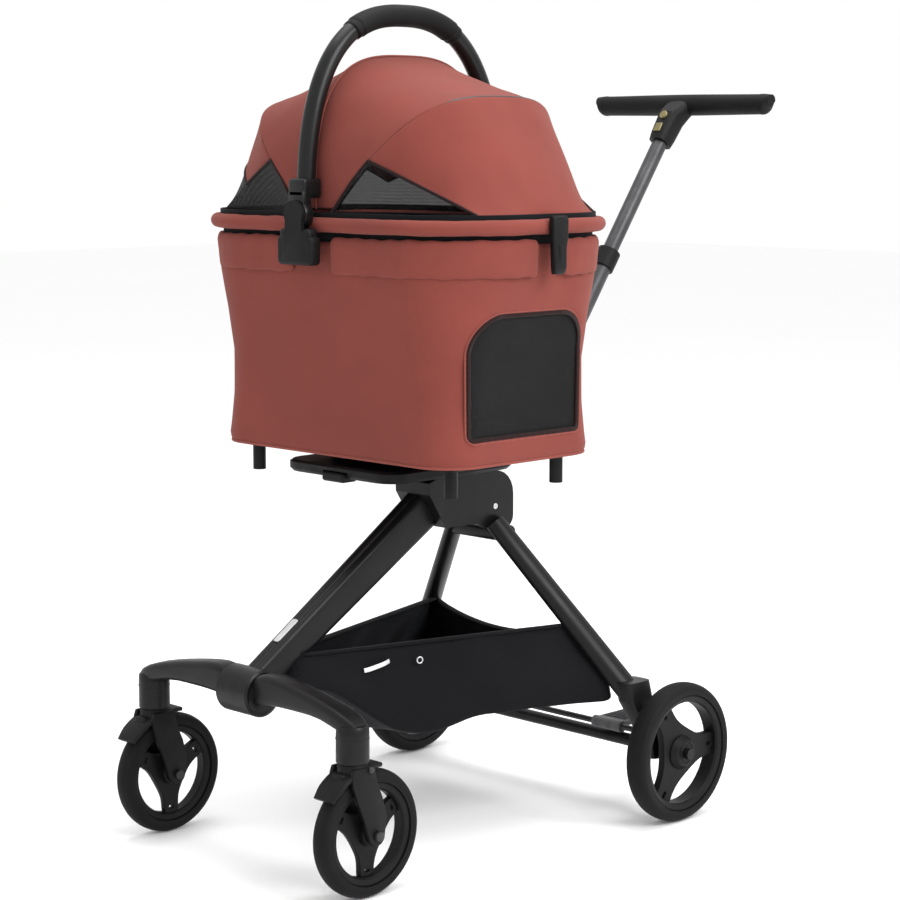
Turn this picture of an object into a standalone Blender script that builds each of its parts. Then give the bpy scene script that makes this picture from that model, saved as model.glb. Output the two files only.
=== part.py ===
"""Pet stroller: folding chassis, lift-off fabric carrier with a folding hood, and a telescoping push bar.

Metres, +Z up, -Y towards the front casters, +X towards the side that carries the brake pedal.
The model stands on z = 0 and is centred on the origin in X and Y.
"""
import math

import bmesh
import bpy
from mathutils import Matrix, Vector

# Driving dimensions
GAP = 0.0003             # clearance between pieces that touch
ORIGIN_SHIFT = -0.1241   # moves the wheelbase centre so that the whole object is centred in Y

WHEELBASE = 0.536
FRONT_TRACK = 0.401
FRONT_WHEEL_RADIUS = 0.083
FRONT_WHEEL_WIDTH = 0.027
CASTER_TRAIL = 0.0215
REAR_TRACK = 0.531
REAR_WHEEL_RADIUS = 0.098
REAR_WHEEL_WIDTH = 0.033
FRONT_SPOKE_START = math.radians(60)     # where the first spoke stands when the wheel is at rest
REAR_SPOKE_START = math.radians(-90)
AXLE_RADIUS = 0.0042
AXLE_BORE = 0.0045

BEAM_FOOT = Vector((0, -0.290, 0.236))
BEAM_HEAD = Vector((0, 0.0244, 0.4386))
HUB_HALF_WIDTH = 0.034
LEG_PIVOT = Vector((0, 0.140, 0.434))
LEG_TOP = Vector((0.050, 0.140, 0.396))
LEG_BOTTOM = Vector((0.215, 0.226, 0.178))
LEG_WIDTHS = (0.022, 0.026)      # at the top and at the bottom
LEG_DEPTHS = (0.032, 0.0375)
REAR_AXLE = Vector((0, WHEELBASE / 2, REAR_WHEEL_RADIUS))
FOOT_RINGS = (           # x, y, z, width and depth, from the socket down to the axle
    (0.2145, 0.2262, 0.1985, 0.034, 0.0455),
    (0.2200, 0.2300, 0.170, 0.033, 0.044),
    (0.2270, 0.2480, 0.130, 0.027, 0.040),
    (0.2290, 0.2650, 0.098, 0.021, 0.038),
    (0.2290, 0.2650, 0.084, 0.019, 0.030),
)
BRAKE_ROD = Vector((0, 0.247, 0.1215))

PLATE_BOTTOM = 0.500
PLATE_TOP = 0.516
POLE_PIVOT = Vector((0, 0.2166, 0.502))
POLE_LEAN = math.radians(35.5)
POLE_LOWER_END = 0.335       # distances along the pole from its pivot
POLE_UPPER_START = 0.190
POLE_NECK_START = 0.540
POLE_LENGTH = 0.618
GRIP_SETBACK = 0.010         # the grip sits behind the pole's axis
PUSH_GRIP_LENGTH = 0.326
PUSH_GRIP_RADIUS = 0.0155

CARRIER_Y = -0.006
PLATE_FRONT = CARRIER_Y - 0.1295
CARRIER_BOTTOM = 0.5315
CUFF_BOTTOM = 0.775
CUFF_TOP = 0.819
CARRIER_LEVELS = (           # height, half length, half width, corner radius
    (0.5315, 0.229, 0.142, 0.052),
    (0.541, 0.234, 0.146, 0.056),
    (0.600, 0.231, 0.143, 0.060),
    (0.660, 0.233, 0.145, 0.070),
    (0.720, 0.243, 0.152, 0.082),
    (0.775, 0.259, 0.163, 0.105),
)
CARRIER_WALL = 0.004
RIM_HALF_LENGTH = 0.268
RIM_HALF_WIDTH = 0.1695
RIM_CORNER = 0.122
RIM_HEIGHT = 0.838
RIM_RADIUS = 0.010
WINDOW_SIZE = (0.200, 0.157)     # width and height of the end windows
WINDOW_CENTRE_Z = 0.6465
WINDOW_SHIFT = -0.006            # of the windows along Y from the carrier's centre
WINDOW_CORNER = 0.034
FOOT_PLACE = (0.190, 0.100)      # the four feet, from the carrier's centre

HANDLE_PIVOT_Z = 0.852
HANDLE_HALF_SPAN = 0.1765
HANDLE_RISE = 0.260          # pivot to the arch's centre line
HANDLE_SHOULDER = 2.5        # exponent of the arch
HANDLE_RADIUS = 0.0125
BOW_PIVOT_X = 0.030
BOW_PIVOT_Z = 0.858
BOW_HALF_SPAN = 0.155
BOW_RADIUS = 0.004
CENTRE_BOW_RISE = 0.196
SIDE_BOW_RISE = 0.205
SIDE_BOW_LEAN = math.radians(46)
BOW_SHOULDER = 3.0
ARCH_STEPS = 16
CANOPY_THICKNESS = 0.003


# ---------------------------------------------------------------- scene and materials
def clear_scene():
    for item in list(bpy.data.objects):
        bpy.data.objects.remove(item, do_unlink=True)


def make_material(name, color, roughness, metallic=0.0):
    material = bpy.data.materials.new(name)
    material.use_nodes = True
    shader = material.node_tree.nodes["Principled BSDF"]
    shader.inputs["Base Color"].default_value = (*color, 1)
    shader.inputs["Roughness"].default_value = roughness
    shader.inputs["Metallic"].default_value = metallic
    material.diffuse_color = (*color, 1)
    return material


def make_empty(name, place, parent=None):
    empty = bpy.data.objects.new(name, None)
    empty.empty_display_size = 0.03
    empty.location = place if parent is None else Vector(place) - world_place(parent)
    empty.parent = parent
    bpy.context.collection.objects.link(empty)
    return empty


def world_place(item):
    place = item.location.copy()
    while item.parent is not None and item.parent.name != "stroller":
        item = item.parent
        place += item.location
    return place if item.name != "stroller" else Vector((0, 0, 0))


def finish_piece(name, bm, material, pivot):
    """Turn a bmesh in stroller coordinates into an object whose origin is its pivot."""
    bmesh.ops.recalc_face_normals(bm, faces=bm.faces)
    mesh = bpy.data.meshes.new(name)
    bm.to_mesh(mesh)
    bm.free()
    mesh.transform(Matrix.Translation(-world_place(pivot)))
    mesh.shade_smooth()
    mesh.set_sharp_from_angle(angle=math.radians(35))
    mesh.materials.append(material)
    piece = bpy.data.objects.new(name, mesh)
    piece.parent = pivot
    bpy.context.collection.objects.link(piece)
    return piece


# ---------------------------------------------------------------- outlines and solids
def circle_outline(radius, count):
    step = math.tau / count
    return [(radius * math.cos(step * i), radius * math.sin(step * i)) for i in range(count)]


def oval_outline(width, height, count):
    return [(x * width / 2, y * height / 2) for x, y in circle_outline(1, count)]


def rectangle(half_width, half_height):
    return [(half_width, half_height), (-half_width, half_height), (-half_width, -half_height),
            (half_width, -half_height)]


def rounded_outline(half_width, half_height, radius, steps=4):
    """A rectangle with round corners, anticlockwise."""
    points = []
    for corner, (sx, sy) in enumerate(((1, 1), (-1, 1), (-1, -1), (1, -1))):
        cx = sx * (half_width - radius)
        cy = sy * (half_height - radius)
        for step in range(steps + 1):
            angle = math.pi / 2 * (corner + step / steps)
            points.append((cx + radius * math.cos(angle), cy + radius * math.sin(angle)))
    return points


def loft(rings, looped=False):
    """Skin a row of equal rings; the ends are capped unless the row is looped."""
    bm = bmesh.new()
    rows = [[bm.verts.new(point) for point in ring] for ring in rings]
    pairs = list(zip(rows, rows[1:]))
    if looped:
        pairs.append((rows[-1], rows[0]))
    for one, two in pairs:
        for i in range(len(one)):
            j = (i + 1) % len(one)
            bm.faces.new((one[i], one[j], two[j], two[i]))
    if not looped:
        bm.faces.new(rows[0])
        bm.faces.new(list(reversed(rows[-1])))
    return bm


def sweep(path, outline, side=(1, 0, 0), looped=False, scales=None):
    """Run an outline along a path; `side` is the direction of the outline's first axis."""
    rings = []
    side = Vector(side)
    last = len(path) - 1
    for i, point in enumerate(path):
        before = path[i - 1] if i > 0 or looped else path[0]
        after = path[(i + 1) % len(path)] if i < last or looped else path[last]
        along = (Vector(after) - Vector(before)).normalized()
        across = (side - along * side.dot(along)).normalized()
        up = along.cross(across)
        size = scales[i] if scales else (1, 1)
        rings.append([Vector(point) + across * (u * size[0]) + up * (v * size[1]) for u, v in outline])
    return loft(rings, looped)


def rod(start, end, radius, count=16):
    along = Vector(end) - Vector(start)
    side = (0, 0, 1) if abs(along.normalized().z) < 0.9 else (1, 0, 0)
    return sweep([start, end], circle_outline(radius, count), side)


def pipe(start, end, outer, inner, count=20):
    """A straight tube that is open at both ends."""
    along = (Vector(end) - Vector(start)).normalized()
    side = Vector((1, 0, 0)) if abs(along.x) < 0.9 else Vector((0, 0, 1))
    side = (side - along * side.dot(along)).normalized()
    up = along.cross(side)
    rings = []
    for place, radius in ((start, outer), (end, outer), (end, inner), (start, inner)):
        ring = [Vector(place) + side * u + up * v for u, v in circle_outline(radius, count)]
        rings.append(ring)
    return loft(rings, looped=True)


def block(low, high, bevel=0.0, segments=2):
    bm = bmesh.new()
    bmesh.ops.create_cube(bm, size=1)
    low, high = Vector(low), Vector(high)
    bmesh.ops.scale(bm, vec=high - low, verts=bm.verts)
    bmesh.ops.translate(bm, vec=(low + high) / 2, verts=bm.verts)
    if bevel:
        bmesh.ops.bevel(bm, geom=bm.edges[:], offset=bevel, segments=segments, profile=0.5,
                        affect="EDGES", clamp_overlap=True)
    return bm


def slab(outline_yz, x_low, x_high):
    """Extrude an outline given in Y and Z sideways."""
    return loft([[(x, y, z) for y, z in outline_yz] for x in (x_low, x_high)])


def turned_x(profile, centre, count=32, looped=True):
    """Turn a closed profile of (x, radius) about the X axis through `centre`."""
    rings = []
    for i in range(count):
        angle = math.tau * i / count
        across, up = math.cos(angle), math.sin(angle)
        rings.append([Vector(centre) + Vector((x, r * across, r * up)) for x, r in profile])
    return loft(rings, looped)


def combine(base, others, operation):
    """Join or cut bmeshes with an exact Boolean, and return the result as a bmesh."""
    items = []
    for bm in [base, *others]:
        bmesh.ops.recalc_face_normals(bm, faces=bm.faces)
        mesh = bpy.data.meshes.new("operand")
        bm.to_mesh(mesh)
        bm.free()
        item = bpy.data.objects.new("operand", mesh)
        bpy.context.collection.objects.link(item)
        items.append(item)
    for other in items[1:]:
        modifier = items[0].modifiers.new("join", "BOOLEAN")
        modifier.operation = operation
        modifier.solver = "EXACT"
        modifier.object = other
    bpy.context.view_layer.update()
    result = items[0].evaluated_get(bpy.context.evaluated_depsgraph_get())
    bm = bmesh.new()
    bm.from_mesh(result.to_mesh())
    for item in items:
        bpy.data.objects.remove(item, do_unlink=True)
    bmesh.ops.remove_doubles(bm, verts=bm.verts, dist=0.00001)
    return bm


def mirrored(place, side):
    return Vector((place[0] * side, place[1], place[2]))


# ---------------------------------------------------------------- wheels and casters
def make_wheel(prefix, centre, radius, width, first_spoke, materials, pivot):
    """A three-spoke wheel: a moulded rim with its hub, and a tyre stretched over it."""
    tread = 0.016
    bead = radius - tread
    half = width / 2
    section = ((1.0, 0.0), (1.0, 0.30), (0.88, 0.62), (0.62, 0.88), (0.24, 1.0))
    profile = [(-half * across, bead + tread * up) for across, up in section]
    profile += [(half * across, bead + tread * up) for across, up in reversed(section)]
    tyre = turned_x(profile, centre, 32)
    finish_piece(prefix + "_tyre", tyre, materials["rubber"], pivot)
    rim_half = half - 0.003
    rim_outer = bead - GAP
    barrel = turned_x([(-rim_half, rim_outer), (rim_half, rim_outer), (rim_half, rim_outer - 0.008),
                       (0, rim_outer - 0.012), (-rim_half, rim_outer - 0.008)], centre, 32)
    boss = turned_x([(-half, AXLE_BORE), (half, AXLE_BORE), (half, 0.018), (-half, 0.018)], centre, 16)
    spokes = []
    for i in range(3):
        turn = Matrix.Rotation(first_spoke + math.tau * i / 3, 3, "X")
        rings = []
        for reach, wide, thick in ((0.013, 0.030, 0.020), (0.024, 0.021, 0.018),
                                   (rim_outer - 0.016, 0.021, 0.016), (rim_outer - 0.006, 0.032, 0.016)):
            ring = []
            for u, v in rectangle(thick / 2, wide / 2):
                ring.append(Vector(centre) + turn @ Vector((u, v, reach)))
            rings.append(ring)
        spokes.append(loft(rings))
    rim = combine(barrel, [boss, *spokes], "UNION")
    finish_piece(prefix + "_rim", rim, materials["moulding"], pivot)


def make_caster(word, side, frame, materials):
    wheel_centre = Vector((side * FRONT_TRACK / 2, -WHEELBASE / 2, FRONT_WHEEL_RADIUS))
    swivel_place = wheel_centre + Vector((0, -CASTER_TRAIL, 0))
    swivel = make_empty("swivel_axis_" + word, swivel_place, frame)
    spin = make_empty("front_spin_axis_" + word, wheel_centre, swivel)
    half = FRONT_WHEEL_WIDTH / 2 + 0.0025
    blade = 0.006
    fender_inner = FRONT_WHEEL_RADIUS + 0.0035
    fender_outer = fender_inner + 0.0065
    arc = [math.radians(a) for a in range(70, 131, 10)]
    outline = [(fender_outer * math.cos(a), fender_outer * math.sin(a)) for a in arc]
    outline += [(fender_inner * math.cos(a), fender_inner * math.sin(a)) for a in reversed(arc)]
    outline = [(wheel_centre.y + y, wheel_centre.z + z) for y, z in outline]
    fender = slab(outline, wheel_centre.x - half - blade, wheel_centre.x + half + blade)
    pieces = []
    for cheek in (-1, 1):
        inner = wheel_centre.x + cheek * half
        outer = wheel_centre.x + cheek * (half + blade)
        eye = [(wheel_centre.y + y, wheel_centre.z + z) for y, z in circle_outline(0.013, 16)]
        eye = [p for p in eye if p[1] < wheel_centre.z + 0.006]
        eye.sort(key=lambda p: math.atan2(p[1] - wheel_centre.z - 0.02, p[0] - wheel_centre.y))
        reach_up = fender_outer * 0.98
        top = [(wheel_centre.y + reach_up * math.cos(a), wheel_centre.z + reach_up * math.sin(a))
               for a in (math.radians(72), math.radians(90), math.radians(108), math.radians(126))]
        pieces.append(slab(eye + top, min(inner, outer), max(inner, outer)))
    crown_low = wheel_centre.z + fender_inner + 0.002
    pieces.append(rod(swivel_place + Vector((0, 0, crown_low - swivel_place.z)),
                      (swivel_place.x, swivel_place.y, 0.1782), 0.0205, 24))
    stem_low, stem_high = (Vector((swivel_place.x, swivel_place.y, z)) for z in (0.174, 0.222))
    pieces.append(rod(stem_low, stem_high, 0.006, 16))
    fork = combine(fender, pieces, "UNION")
    bore = rod(wheel_centre - Vector((0.03, 0, 0)), wheel_centre + Vector((0.03, 0, 0)), AXLE_BORE, 16)
    wheel_room = rod(wheel_centre - Vector((half, 0, 0)), wheel_centre + Vector((half, 0, 0)), fender_inner, 40)
    fork = combine(fork, [bore, wheel_room], "DIFFERENCE")
    finish_piece("caster_fork_" + word, fork, materials["moulding"], swivel)
    reach = half + blade + 0.003
    half_axle = Vector((reach, 0, 0))
    axle = combine(rod(wheel_centre - half_axle, wheel_centre + half_axle, AXLE_RADIUS, 16),
                   [rod(wheel_centre + Vector((end * (reach - 0.0025), 0, 0)),
                        wheel_centre + Vector((end * (reach + 0.0025), 0, 0)), 0.0075, 16) for end in (-1, 1)],
                   "UNION")
    finish_piece("front_axle_" + word, axle, materials["steel"], swivel)
    make_wheel("front_wheel_" + word, wheel_centre, FRONT_WHEEL_RADIUS, FRONT_WHEEL_WIDTH,
               FRONT_SPOKE_START, materials, spin)


# ---------------------------------------------------------------- front frame
def make_front_bar(word, side, frame, materials):
    """Half of the arched front casting, with the caster socket at its outer end."""
    y_mid = -0.2905
    rings = []
    for x, top, bottom, depth in ((0.0313, 0.262, 0.222, 0.036), (0.050, 0.266, 0.226, 0.035),
                                  (0.085, 0.263, 0.2275, 0.034), (0.120, 0.257, 0.2275, 0.034),
                                  (0.150, 0.252, 0.2265, 0.035), (0.180, 0.2455, 0.218, 0.037),
                                  (0.202, 0.237, 0.212, 0.036), (0.216, 0.2285, 0.214, 0.026)):
        middle = (top + bottom) / 2
        outline = rounded_outline(depth / 2, (top - bottom) / 2, 0.0068, 2)
        rings.append([(side * x, y_mid + u, middle + v) for u, v in outline])
    x = side * FRONT_TRACK / 2
    y = -WHEELBASE / 2 - CASTER_TRAIL
    socket = rod((x, y, 0.1786), (x, y, 0.2275), 0.0215, 24)
    bar = combine(loft(rings), [socket], "UNION")
    bore = rod((x, y, 0.170), (x, y, 0.2235), 0.0063, 16)
    finish_piece("front_bar_" + word, combine(bar, [bore], "DIFFERENCE"), materials["casting"], frame)


def make_front_frame(frame, materials):
    knuckle = rod((-0.031, *BEAM_FOOT.yz), (0.031, *BEAM_FOOT.yz), 0.031, 32)
    finish_piece("front_knuckle", knuckle, materials["casting"], frame)
    bolt = rod((0.0313, -0.2665, 0.2205), (0.0345, -0.2665, 0.2205), 0.0042, 16)
    finish_piece("knuckle_bolt", bolt, materials["steel"], frame)
    beam = sweep([BEAM_FOOT + (BEAM_HEAD - BEAM_FOOT) * t for t in (0.02, 0.35, 0.7, 1.0)],
                 rounded_outline(0.5, 0.5, 0.22, 3),
                 scales=[(0.030, 0.042), (0.031, 0.046), (0.033, 0.051), (0.034, 0.056)])
    room = rod((-0.05, *BEAM_FOOT.yz), (0.05, *BEAM_FOOT.yz), 0.031 + GAP, 32)
    finish_piece("main_beam", combine(beam, [room], "DIFFERENCE"), materials["casting"], frame)


def arc_points(centre, radius, start, end, steps):
    """Points on an arc in the Y-Z plane; the angles are in degrees from +Y."""
    points = []
    for i in range(steps + 1):
        angle = math.radians(start + (end - start) * i / steps)
        points.append((centre[0] + radius * math.cos(angle), centre[1] + radius * math.sin(angle)))
    return points


def make_hub(frame, materials):
    along = (BEAM_HEAD - BEAM_FOOT).normalized()
    up = Vector((0, -along.z, along.y))
    face = BEAM_HEAD + along * GAP
    top_front = face + up * 0.029
    low_front = face - up * 0.029
    outline = [(low_front.y, low_front.z), (0.100, 0.4135), (0.125, 0.402)]
    outline += arc_points((0.158, 0.418), 0.0175, -90, 0, 4)
    outline += arc_points((0.1395, 0.449), 0.036, 0, 90, 6)
    outline += [(0.030, 0.4875), (0.008, 0.480), (top_front.y, top_front.z)]
    body = slab(outline, -HUB_HALF_WIDTH, HUB_HALF_WIDTH)
    slot = block((-0.0245, 0.080, 0.360), (0.0245, 0.200, 0.462))
    pin_hole = rod((-0.06, *LEG_PIVOT.yz), (0.06, *LEG_PIVOT.yz), 0.0050, 16)
    finish_piece("hub_housing", combine(body, [slot, pin_hole], "DIFFERENCE"), materials["casting"], frame)
    pin = rod((-0.0335, *LEG_PIVOT.yz), (0.0335, *LEG_PIVOT.yz), 0.0047, 16)
    finish_piece("leg_hinge_pin", pin, materials["steel"], frame)
    screw = rod((HUB_HALF_WIDTH + GAP, 0.050, 0.460), (HUB_HALF_WIDTH + 0.0025, 0.050, 0.460), 0.0045, 16)
    finish_piece("hub_screw", screw, materials["steel"], frame)


def make_platform(frame, materials):
    """The plate that carries the carrier, its curved neck, and the fork for the push bar's hinge."""
    half_length = 0.110
    half_width = 0.122
    rings = []
    for z, inset in ((PLATE_BOTTOM, 0.003), (PLATE_BOTTOM + 0.004, 0), (PLATE_TOP - 0.003, 0),
                     (PLATE_TOP, 0.003)):
        outline = rounded_outline(half_length - inset, half_width - inset, 0.030, 4)
        rings.append([(u, PLATE_FRONT + half_width + v, z) for u, v in outline])
    plate = loft(rings)
    neck_outline = [(0.150, 0.505), (0.150, 0.4878), (0.030, 0.4878), (0.006, 0.4925), (-0.030, 0.497),
                    (-0.062, 0.5005), (-0.062, 0.505)]
    neck = slab(neck_outline, -0.030, 0.030)
    arm_outline = [(0.070, 0.490), (POLE_PIVOT.y, POLE_PIVOT.z - 0.013)]
    arm_outline += arc_points(POLE_PIVOT.yz, 0.013, -67, 90, 6)
    arm_outline += [(0.070, 0.5145)]
    arm = slab(arm_outline, -0.0225, 0.0225)
    solid = combine(plate, [neck, arm], "UNION")
    slot = block((-0.0135, 0.187, 0.47), (0.0135, 0.25, 0.53))
    hole = rod((-0.05, *POLE_PIVOT.yz), (0.05, *POLE_PIVOT.yz), 0.0043, 16)
    lever_room = block((-0.024, PLATE_FRONT - 0.001, 0.485), (0.024, PLATE_FRONT + 0.0245, 0.5085))
    finish_piece("carrier_platform", combine(solid, [slot, hole, lever_room], "DIFFERENCE"),
                 materials["moulding"], frame)
    pin = rod((-0.0222, *POLE_PIVOT.yz), (0.0222, *POLE_PIVOT.yz), 0.0040, 16)
    finish_piece("pole_hinge_pin", pin, materials["steel"], frame)
    lever_axis = make_empty("lever_axis", (0, PLATE_FRONT + 0.0200, 0.5040), frame)
    lever = block((-0.0215, PLATE_FRONT - 0.0055, 0.4945), (0.0215, PLATE_FRONT + 0.0220, 0.5070), 0.0025, 1)
    finish_piece("carrier_release_lever", lever, materials["moulding"], lever_axis)


# ---------------------------------------------------------------- rear frame
def make_rear_frame(frame, materials):
    pivot = make_empty("rear_frame_axis", LEG_PIVOT, frame)
    eye = rod((-0.0240, *LEG_PIVOT.yz), (0.0240, *LEG_PIVOT.yz), 0.0195, 24)
    stem = block((-0.0240, 0.1280, 0.370), (0.0240, 0.157, 0.434), 0.004, 1)
    cross = block((-0.0745, 0.1270, 0.3680), (0.0745, 0.1610, 0.3880), 0.006, 2)
    hole = rod((-0.06, *LEG_PIVOT.yz), (0.06, *LEG_PIVOT.yz), 0.0050, 16)
    yoke = combine(combine(eye, [stem, cross], "UNION"), [hole], "DIFFERENCE")
    leg_cutters = [rear_leg(side, 0.0, 1.0, GAP) for side in (-1, 1)]
    finish_piece("leg_yoke", combine(yoke, leg_cutters, "DIFFERENCE"), materials["casting"], pivot)
    axle_y, axle_z = 0.262, 0.100
    for word, side in (("left", -1), ("right", 1)):
        finish_piece("rear_leg_" + word, rear_leg(side, 0.03, 1.0, 0.0), materials["tube"], pivot)
        foot_rings = []
        for x, y, z, wide, deep in FOOT_RINGS:
            outline = rounded_outline(wide / 2, deep / 2, 0.007, 2)
            foot_rings.append([(side * (x + u), y + v, z) for u, v in outline])
        stub = rod((side * 0.226, *REAR_AXLE.yz), (side * 0.2865, *REAR_AXLE.yz), AXLE_RADIUS, 16)
        nut = rod((side * 0.2830, *REAR_AXLE.yz), (side * 0.2895, *REAR_AXLE.yz), 0.0080, 16)
        foot = combine(loft(foot_rings), [stub, nut], "UNION")
        sockets = [rear_leg(side, 0.0, 1.006, GAP),
                   rod((0, axle_y, axle_z), (side * 0.2260, axle_y, axle_z), 0.0093, 20),
                   rod((0, *BRAKE_ROD.yz), (side * 0.2200, *BRAKE_ROD.yz), 0.0047, 16)]
        foot = combine(foot, sockets, "DIFFERENCE")
        finish_piece("rear_foot_" + word, foot, materials["casting"], pivot)
        wheel_centre = Vector((side * REAR_TRACK / 2, *REAR_AXLE.yz))
        spin = make_empty("rear_spin_axis_" + word, wheel_centre, pivot)
        make_wheel("rear_wheel_" + word, wheel_centre, REAR_WHEEL_RADIUS, REAR_WHEEL_WIDTH,
                   REAR_SPOKE_START, materials, spin)
    finish_piece("rear_axle_bar", rod((-0.2255, axle_y, axle_z), (0.2255, axle_y, axle_z), 0.009, 20),
                 materials["tube"], pivot)
    brake_axis = make_empty("brake_axis", BRAKE_ROD, pivot)
    finish_piece("brake_link_rod", rod((-0.2195, *BRAKE_ROD.yz), (0.2195, *BRAKE_ROD.yz), 0.0043, 16),
                 materials["steel"], brake_axis)
    arm = rod((0.1290, *BRAKE_ROD.yz), (0.1810, *BRAKE_ROD.yz), 0.0085, 16)
    tread = block((0.1290, 0.2480, 0.1200), (0.1810, 0.3080, 0.1285), 0.003, 2)
    bore = rod((0.12, *BRAKE_ROD.yz), (0.19, *BRAKE_ROD.yz), 0.0046, 16)
    pedal = combine(combine(arm, [tread], "UNION"), [bore], "DIFFERENCE")
    finish_piece("brake_pedal", pedal, materials["grey"], brake_axis)


def rear_leg(side, start, end, clearance):
    """The tapering oval leg on one side, between two shares of its length, with room added all round."""
    top = mirrored(LEG_TOP, side)
    along = mirrored(LEG_BOTTOM, side) - top
    path = [top + along * start, top + along * end]
    scales = []
    for share in (start, end):
        scales.append((LEG_WIDTHS[0] + (LEG_WIDTHS[1] - LEG_WIDTHS[0]) * share + 2 * clearance,
                       LEG_DEPTHS[0] + (LEG_DEPTHS[1] - LEG_DEPTHS[0]) * share + 2 * clearance))
    return sweep(path, circle_outline(0.5, 20), scales=scales)


def make_storage_basket(frame, materials):
    """A hanging tub, narrow at the front and wide between the rear legs, open at the top."""
    levels = ((0.272, -0.178, 0.022, 0.184, 0.119), (0.215, -0.186, 0.032, 0.198, 0.146),
              (0.165, -0.190, 0.040, 0.210, 0.170), (0.150, -0.178, 0.034, 0.204, 0.158))
    rings = [basket_ring(*level, 0.0) for level in levels]
    floor = 0.0035
    for z, front, narrow, back, wide in reversed(levels):
        rings.append(basket_ring(z + (floor if z < 0.16 else 0), front, narrow, back, wide, 0.003))
    bm = loft(rings)
    bmesh.ops.delete(bm, geom=[f for f in bm.faces if len(f.verts) > 4], context="FACES_ONLY")
    open_basket(bm, len(rings[0]))
    finish_piece("storage_basket", bm, materials["black_fabric"], frame)


def basket_ring(z, front, narrow, back, wide, inset):
    corners = ((wide - inset, back - inset), (-wide + inset, back - inset),
               (-narrow + inset, front + inset), (narrow - inset, front + inset))
    points = []
    for i, corner in enumerate(corners):
        before = Vector(corners[i - 1])
        after = Vector(corners[(i + 1) % 4])
        place = Vector(corner)
        radius = 0.012
        one = place + (before - place).normalized() * radius
        two = place + (after - place).normalized() * radius
        middle = (one + two + place * 2) / 4
        points += [(p.x, p.y, z) for p in (one, middle, two)]
    return points


def open_basket(bm, count):
    """Close the tub's floor inside and out, and bridge its top edge."""
    bm.verts.ensure_lookup_table()
    total = len(bm.verts)
    outer_top = bm.verts[:count]
    inner_top = bm.verts[total - count:]
    outer_floor = bm.verts[count * 3:count * 4]
    inner_floor = bm.verts[count * 4:count * 5]
    joint = [f for f in bm.faces if all(v in outer_floor or v in inner_floor for v in f.verts)
             and any(v in outer_floor for v in f.verts) and any(v in inner_floor for v in f.verts)]
    bmesh.ops.delete(bm, geom=joint, context="FACES_ONLY")
    bm.faces.new(outer_floor)
    bm.faces.new(inner_floor)
    for i in range(count):
        j = (i + 1) % count
        bm.faces.new((outer_top[i], outer_top[j], inner_top[j], inner_top[i]))


# ---------------------------------------------------------------- push bar
def pole_point(distance, forward=0.0):
    """A point on the pole's axis; `forward` moves it square to the axis, towards the carrier."""
    along = Vector((0, math.sin(POLE_LEAN), math.cos(POLE_LEAN)))
    across = Vector((0, -math.cos(POLE_LEAN), math.sin(POLE_LEAN)))
    return POLE_PIVOT + along * distance + across * forward


def make_push_bar(frame, materials):
    fold = make_empty("push_bar_axis", POLE_PIVOT, frame)
    eye = rod((-0.0130, *POLE_PIVOT.yz), (0.0130, *POLE_PIVOT.yz), 0.0128, 24)
    socket = sweep([pole_point(0.004), pole_point(0.020), pole_point(0.030), pole_point(0.068)],
                   rounded_outline(0.5, 0.5, 0.3, 3),
                   scales=[(0.024, 0.024), (0.026, 0.026), (0.034, 0.034), (0.034, 0.034)])
    yoke = combine(eye, [socket], "UNION")
    cutters = [rod(pole_point(0.0300), pole_point(0.08), 0.0143, 24),
               rod((-0.05, *POLE_PIVOT.yz), (0.05, *POLE_PIVOT.yz), 0.0043, 16)]
    finish_piece("pole_yoke", combine(yoke, cutters, "DIFFERENCE"), materials["casting"], fold)
    finish_piece("pole_lower_tube", pipe(pole_point(0.0303), pole_point(POLE_LOWER_END), 0.0140, 0.0120, 24),
                 materials["tube"], fold)
    collar = combine(rod(pole_point(POLE_LOWER_END - 0.020), pole_point(POLE_LOWER_END + 0.010), 0.0175, 24),
                     [rod(pole_point(POLE_LOWER_END - 0.03), pole_point(POLE_LOWER_END + GAP), 0.0143, 24)],
                     "DIFFERENCE")
    tube_room = rod(pole_point(POLE_LOWER_END - 0.03), pole_point(POLE_LOWER_END + 0.03), 0.0119, 24)
    collar = combine(collar, [tube_room], "DIFFERENCE")
    finish_piece("pole_collar", collar, materials["moulding"], fold)
    height = make_empty("handle_height_axis", pole_point(POLE_NECK_START), fold)
    finish_piece("pole_upper_tube", pipe(pole_point(POLE_UPPER_START), pole_point(POLE_NECK_START + 0.030),
                                         0.0115, 0.0095, 24), materials["tube"], height)
    make_push_handle(height, materials)


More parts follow.
